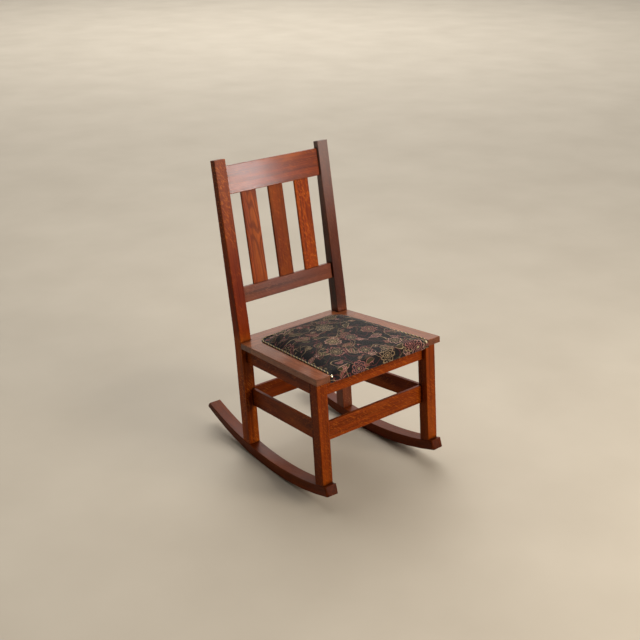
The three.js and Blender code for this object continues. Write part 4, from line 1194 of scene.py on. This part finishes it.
# %% Twisted plies
LAY, PLY_RADIUS, HELIX_RADIUS, FLATNESS, SIDES = 14.0, 1.35, 1.05, 0.62, 8
PLY_FLATNESS, END_DROP, END_REACH, WHOLE_TURN = 0.85, 1.4, 5, 2 * math.pi


def ply_centre(i, phase):
    """Centre of a ply at a point of the route, and the direction across the route."""
    here, last = route[i], len(route) - 1
    ahead = (route[min(i + 1, last)] - route[max(i - 1, 0)]).normalized()
    across = Vector((-ahead.y, ahead.x, 0))
    angle = WHOLE_TURN * i * STEP / LAY + phase
    lift = math.sin(angle) * HELIX_RADIUS * FLATNESS
    drop = END_DROP * max(0.0, 1 - min(i, last - i) * STEP / END_REACH) ** 2
    centre = Vector((here.x, here.y, TRIM_LEVEL + lift - drop))
    return centre + across * math.cos(angle) * HELIX_RADIUS, across


def tube(rings, sides, base=0):
    """Faces of a tube whose rings of points follow one another, closed at both ends."""
    faces = []
    for start in range(base, base + (rings - 1) * sides, sides):
        for s in range(sides):
            a, b = start + s, start + (s + 1) % sides
            faces.append((a, b, b + sides, a + sides))
    last = base + (rings - 1) * sides
    faces.append(tuple(reversed(range(base, base + sides))))
    return faces + [tuple(range(last, last + sides))]


points, faces, threads = [], [], []
for ply, phase in enumerate((0.0, math.pi)):
    faces += tube(len(route), SIDES, len(points))
    for i in range(len(route)):
        centre, across = ply_centre(i, phase)
        for s in range(SIDES):
            turn = WHOLE_TURN * s / SIDES
            side = across * math.cos(turn) * PLY_RADIUS
            up = Vector((0, 0, math.sin(turn) * PLY_RADIUS * PLY_FLATNESS))
            points.append(place(*(centre + side + up)))
            threads.append((i * STEP, turn / WHOLE_TURN, float(ply)))
trim = new_piece("seat_trim_cord", points, faces, trim_yarn, "trim_cord", "gimp_trim")
store(trim.data, "thread", threads)
print("trim faces:", len(faces))

# %% [markdown]
# ## Nails
#
# One round-headed nail pins each front corner. Its head is a thin stamped dome with a rolled
# rim, turned from a profile about the nail's own axis, and slightly out of true as a
# hammered nail is.

# %% Round-headed nails
NAIL_DOME, NAIL_RIM, NAIL_RADIUS, NAIL_INSET, NAIL_TILT = 2.4, 0.45, 3.8, 6.0, math.radians(54)
NAIL_SIDES, OUT_OF_TRUE, NAIL_LIFT = 28, 0.02, 0.4


def turned_points(profile, centre, axis):
    """Points of a profile of (radius, height) pairs turned about an axis."""
    side = axis.orthogonal().normalized()
    other = axis.cross(side)
    points = []
    for radius, height in profile:
        for s in range(NAIL_SIDES):
            turn = WHOLE_TURN * s / NAIL_SIDES
            wide = radius * (1 + OUT_OF_TRUE * math.cos(2 * turn))
            away = (side * math.cos(turn) + other * math.sin(turn)) * wide
            points.append(centre + axis * height + away)
    return points


profile = [(0.9, -11.0), (0.9, -0.3), (3.2, -0.2), (3.8, -0.25), (4.0, 0.05), (3.85, NAIL_RIM)]
for i in range(1, 8):
    angle = QUARTER_TURN * i / 8
    height = NAIL_RIM + (NAIL_DOME - NAIL_RIM) * math.sin(angle)
    profile.append((NAIL_RADIUS * math.cos(angle), height))
profile.append((0.15, NAIL_DOME))
outward = Vector((0, -math.sin(NAIL_TILT), math.cos(NAIL_TILT)))
for side, name in ((-1, "left"), (1, "right")):
    y = ROLL_START - (ROLL_REACH + NAIL_LIFT) * math.sin(NAIL_TILT)
    z = EDGE_TOP + 0.6 - (ROLL_DROP + NAIL_LIFT) * (1 - math.cos(NAIL_TILT))
    centre = Vector((side * (HALF_FRONT - NAIL_INSET), y, z))
    points = [place(*p) for p in turned_points(profile, centre, outward.normalized())]
    ends = nail_metal, "nail_brass", f"decorative_nail_{name}"
    new_piece(f"nail_{name}", points, tube(len(profile), NAIL_SIDES), *ends)
print("nails at", [round(v, 1) for v in centre])

# %% [markdown]
# ## Webbing
#
# Six straps of jute carry the seat, three each way, laced over and under one another. Each is
# woven flat with two coloured stripes. A strap is a band of points that rides up and down as
# it crosses the others, with a slight waver along its edges.

# %% Webbing straps
STRAP_WIDTH, STRAP_THICK, STRAP_LEVEL, STRAP_SWAY = 60.0, 1.4, 344.0, 0.85
LENGTHWISE, CROSSWISE = (-81.2, 0.0, 81.2), (91.6, 179.0, 266.4)
STRAP_STEPS, STRAP_COLUMNS, STRAP_RAMP = 90, 10, 12.0
STRAP_WAVER, WAVER_LENGTH, STRAP_MARGIN, EDGE_THINNING = 0.5, 40, 0.25, 0.35


def strap_level(along, crossings, starts_over):
    """Height of a strap, which crosses the others in turn above and below."""
    level = 0.0
    for i, middle in enumerate(crossings):
        over = 1 if (i % 2 == 0) == starts_over else -1
        away = max(0.0, abs(along - middle) - STRAP_WIDTH / 2)
        level += over * STRAP_SWAY * max(0.0, 1 - away / STRAP_RAMP) ** 1.5
    return STRAP_LEVEL + max(-STRAP_SWAY, min(STRAP_SWAY, level))


def lay_strap(name, start, end, crossings, starts_over, to_chair, seed):
    """Makes one strap. to_chair turns (side, along) into x and y in the chair's frame."""
    points, cloth = [], []
    for layer in (-1, 1):
        for i in range(STRAP_STEPS + 1):
            along = start + (end - start) * i / STRAP_STEPS
            level = strap_level(along, crossings, starts_over)
            waver = STRAP_WAVER * noise.noise(Vector((along / WAVER_LENGTH, seed, 0)))
            for j in range(STRAP_COLUMNS + 1):
                share = 2 * j / STRAP_COLUMNS - 1
                side = share * (STRAP_WIDTH / 2 - STRAP_MARGIN) + waver
                thick = STRAP_THICK / 2 * (1 - EDGE_THINNING * abs(share) ** 8)
                points.append(place(*to_chair(side, along), level + layer * thick))
                cloth.append((side, along, float(layer)))
    faces = closed_grids(STRAP_STEPS + 1, STRAP_COLUMNS + 1)
    strap = new_piece("strap_" + name, points, faces, jute, "webbing_jute", name)
    store(strap.data, "cloth", cloth)


for i, x in enumerate(LENGTHWISE):
    to_chair = lambda side, along: (x + side, along)
    name = f"webbing_lengthwise_{i + 1}"
    lay_strap(name, 8.2, 331.2, CROSSWISE, i % 2 == 0, to_chair, 10.0 + i)
for i, y in enumerate(CROSSWISE):
    to_chair = lambda side, along: (along, y - side)
    end = panel_half(y + STRAP_WIDTH / 2) - 1.7
    name = f"webbing_crosswise_{i + 1}"
    lay_strap(name, -end, end, LENGTHWISE, i % 2 != 0, to_chair, 20.0 + i)
print("straps:", len(LENGTHWISE) + len(CROSSWISE))

# %% [markdown]
# ## Burlap
#
# A sheet of burlap lies on the straps and keeps the stuffing up. It is stretched and tacked
# at the edge, so it is nearly flat and only dips a little into the squares between straps.

# %% Burlap sheet
BURLAP_LOW, BURLAP_THICK, BURLAP_DIP, BURLAP_ROWS = 345.85, 0.8, 0.25, 49


def burlap_point(share, along):
    """A point of the burlap's upper face and its place in the flat cloth, in millimetres."""
    rear = rear_edge(share) - PAD_INSET
    y = rear + (ROLL_START - rear) * along
    x = share * (panel_half(y) - PAD_INSET)
    nearest = min([abs(x - s) for s in LENGTHWISE] + [abs(y - s) for s in CROSSWISE])
    dip = BURLAP_DIP * min(1.0, max(0.0, nearest - STRAP_WIDTH / 2) / 12)
    return (x, y, BURLAP_LOW + BURLAP_THICK - dip), (x, y, 0.0)


spots = [(s, r / (BURLAP_ROWS - 1)) for r in range(BURLAP_ROWS) for s in
         column_shares(BURLAP_ROWS)]
points, flat = zip(*(burlap_point(*spot) for spot in spots))
points, faces = [place(*point) for point in points], grid(BURLAP_ROWS, BURLAP_ROWS)
burlap = new_piece("burlap_sheet", points, faces, burlap_cloth, "burlap", "burlap")
store(burlap.data, "cloth", flat)
burlap_area = thicken(burlap, BURLAP_THICK)
print("burlap:", round(burlap_area, 4), "square metres")

# %% [markdown]
# ## Screws
#
# The screws keep their solids. They only need their metal, which is set on the loaded pieces.

# %% Screw metal
screws = [piece for name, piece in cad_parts.items() if "screw" in name]
for screw in screws:
    screw.data.materials.clear()
    screw.data.materials.append(steel)
print("screws:", len(screws))

# %% [markdown]
# ## Floor finish and the room
#
# The floor is matt and pale. The room lights the chair as a soft gradient: pale ahead and
# above, darker behind the camera's left shoulder. Looked at itself, it is an even pale grey.

# %% Floor and room
floor_material, tree, shader = new_material("pale floor", Roughness=0.85)
mottle = noisy(own_place(tree), detail=4, scale=2.5)
shader["Base Color"] = mixed(mottle, rgb(164, 155, 141), rgb(183, 175, 161))
floor.data.materials.append(floor_material)

world = bpy.data.worlds.new("room")
bpy.context.scene.world = world
world.use_nodes = True
tree = world.node_tree
towards = add_node(tree, "TexCoord")["Generated"]
facing = vectors("DOT_PRODUCT", towards, Vector((0.60, 0.74, 0.30)).normalized())
lit = mixed(between(facing, -0.35, 0.95), rgb(48, 42, 36), rgb(250, 244, 234))
looked_at = add_node(tree, "LightPath")["Is Camera Ray"]
Node(tree.nodes["Background"])["Color"] = mixed(looked_at, lit, rgb(168, 163, 153))
print("room ready")

# %% [markdown]
# ## Sizes, and the end
#
# The finished model should fill the same box as the solids, whose size is printed again.

# %% Sizes
print("solids:", [round(v, 4) for v in cad_high - cad_low])
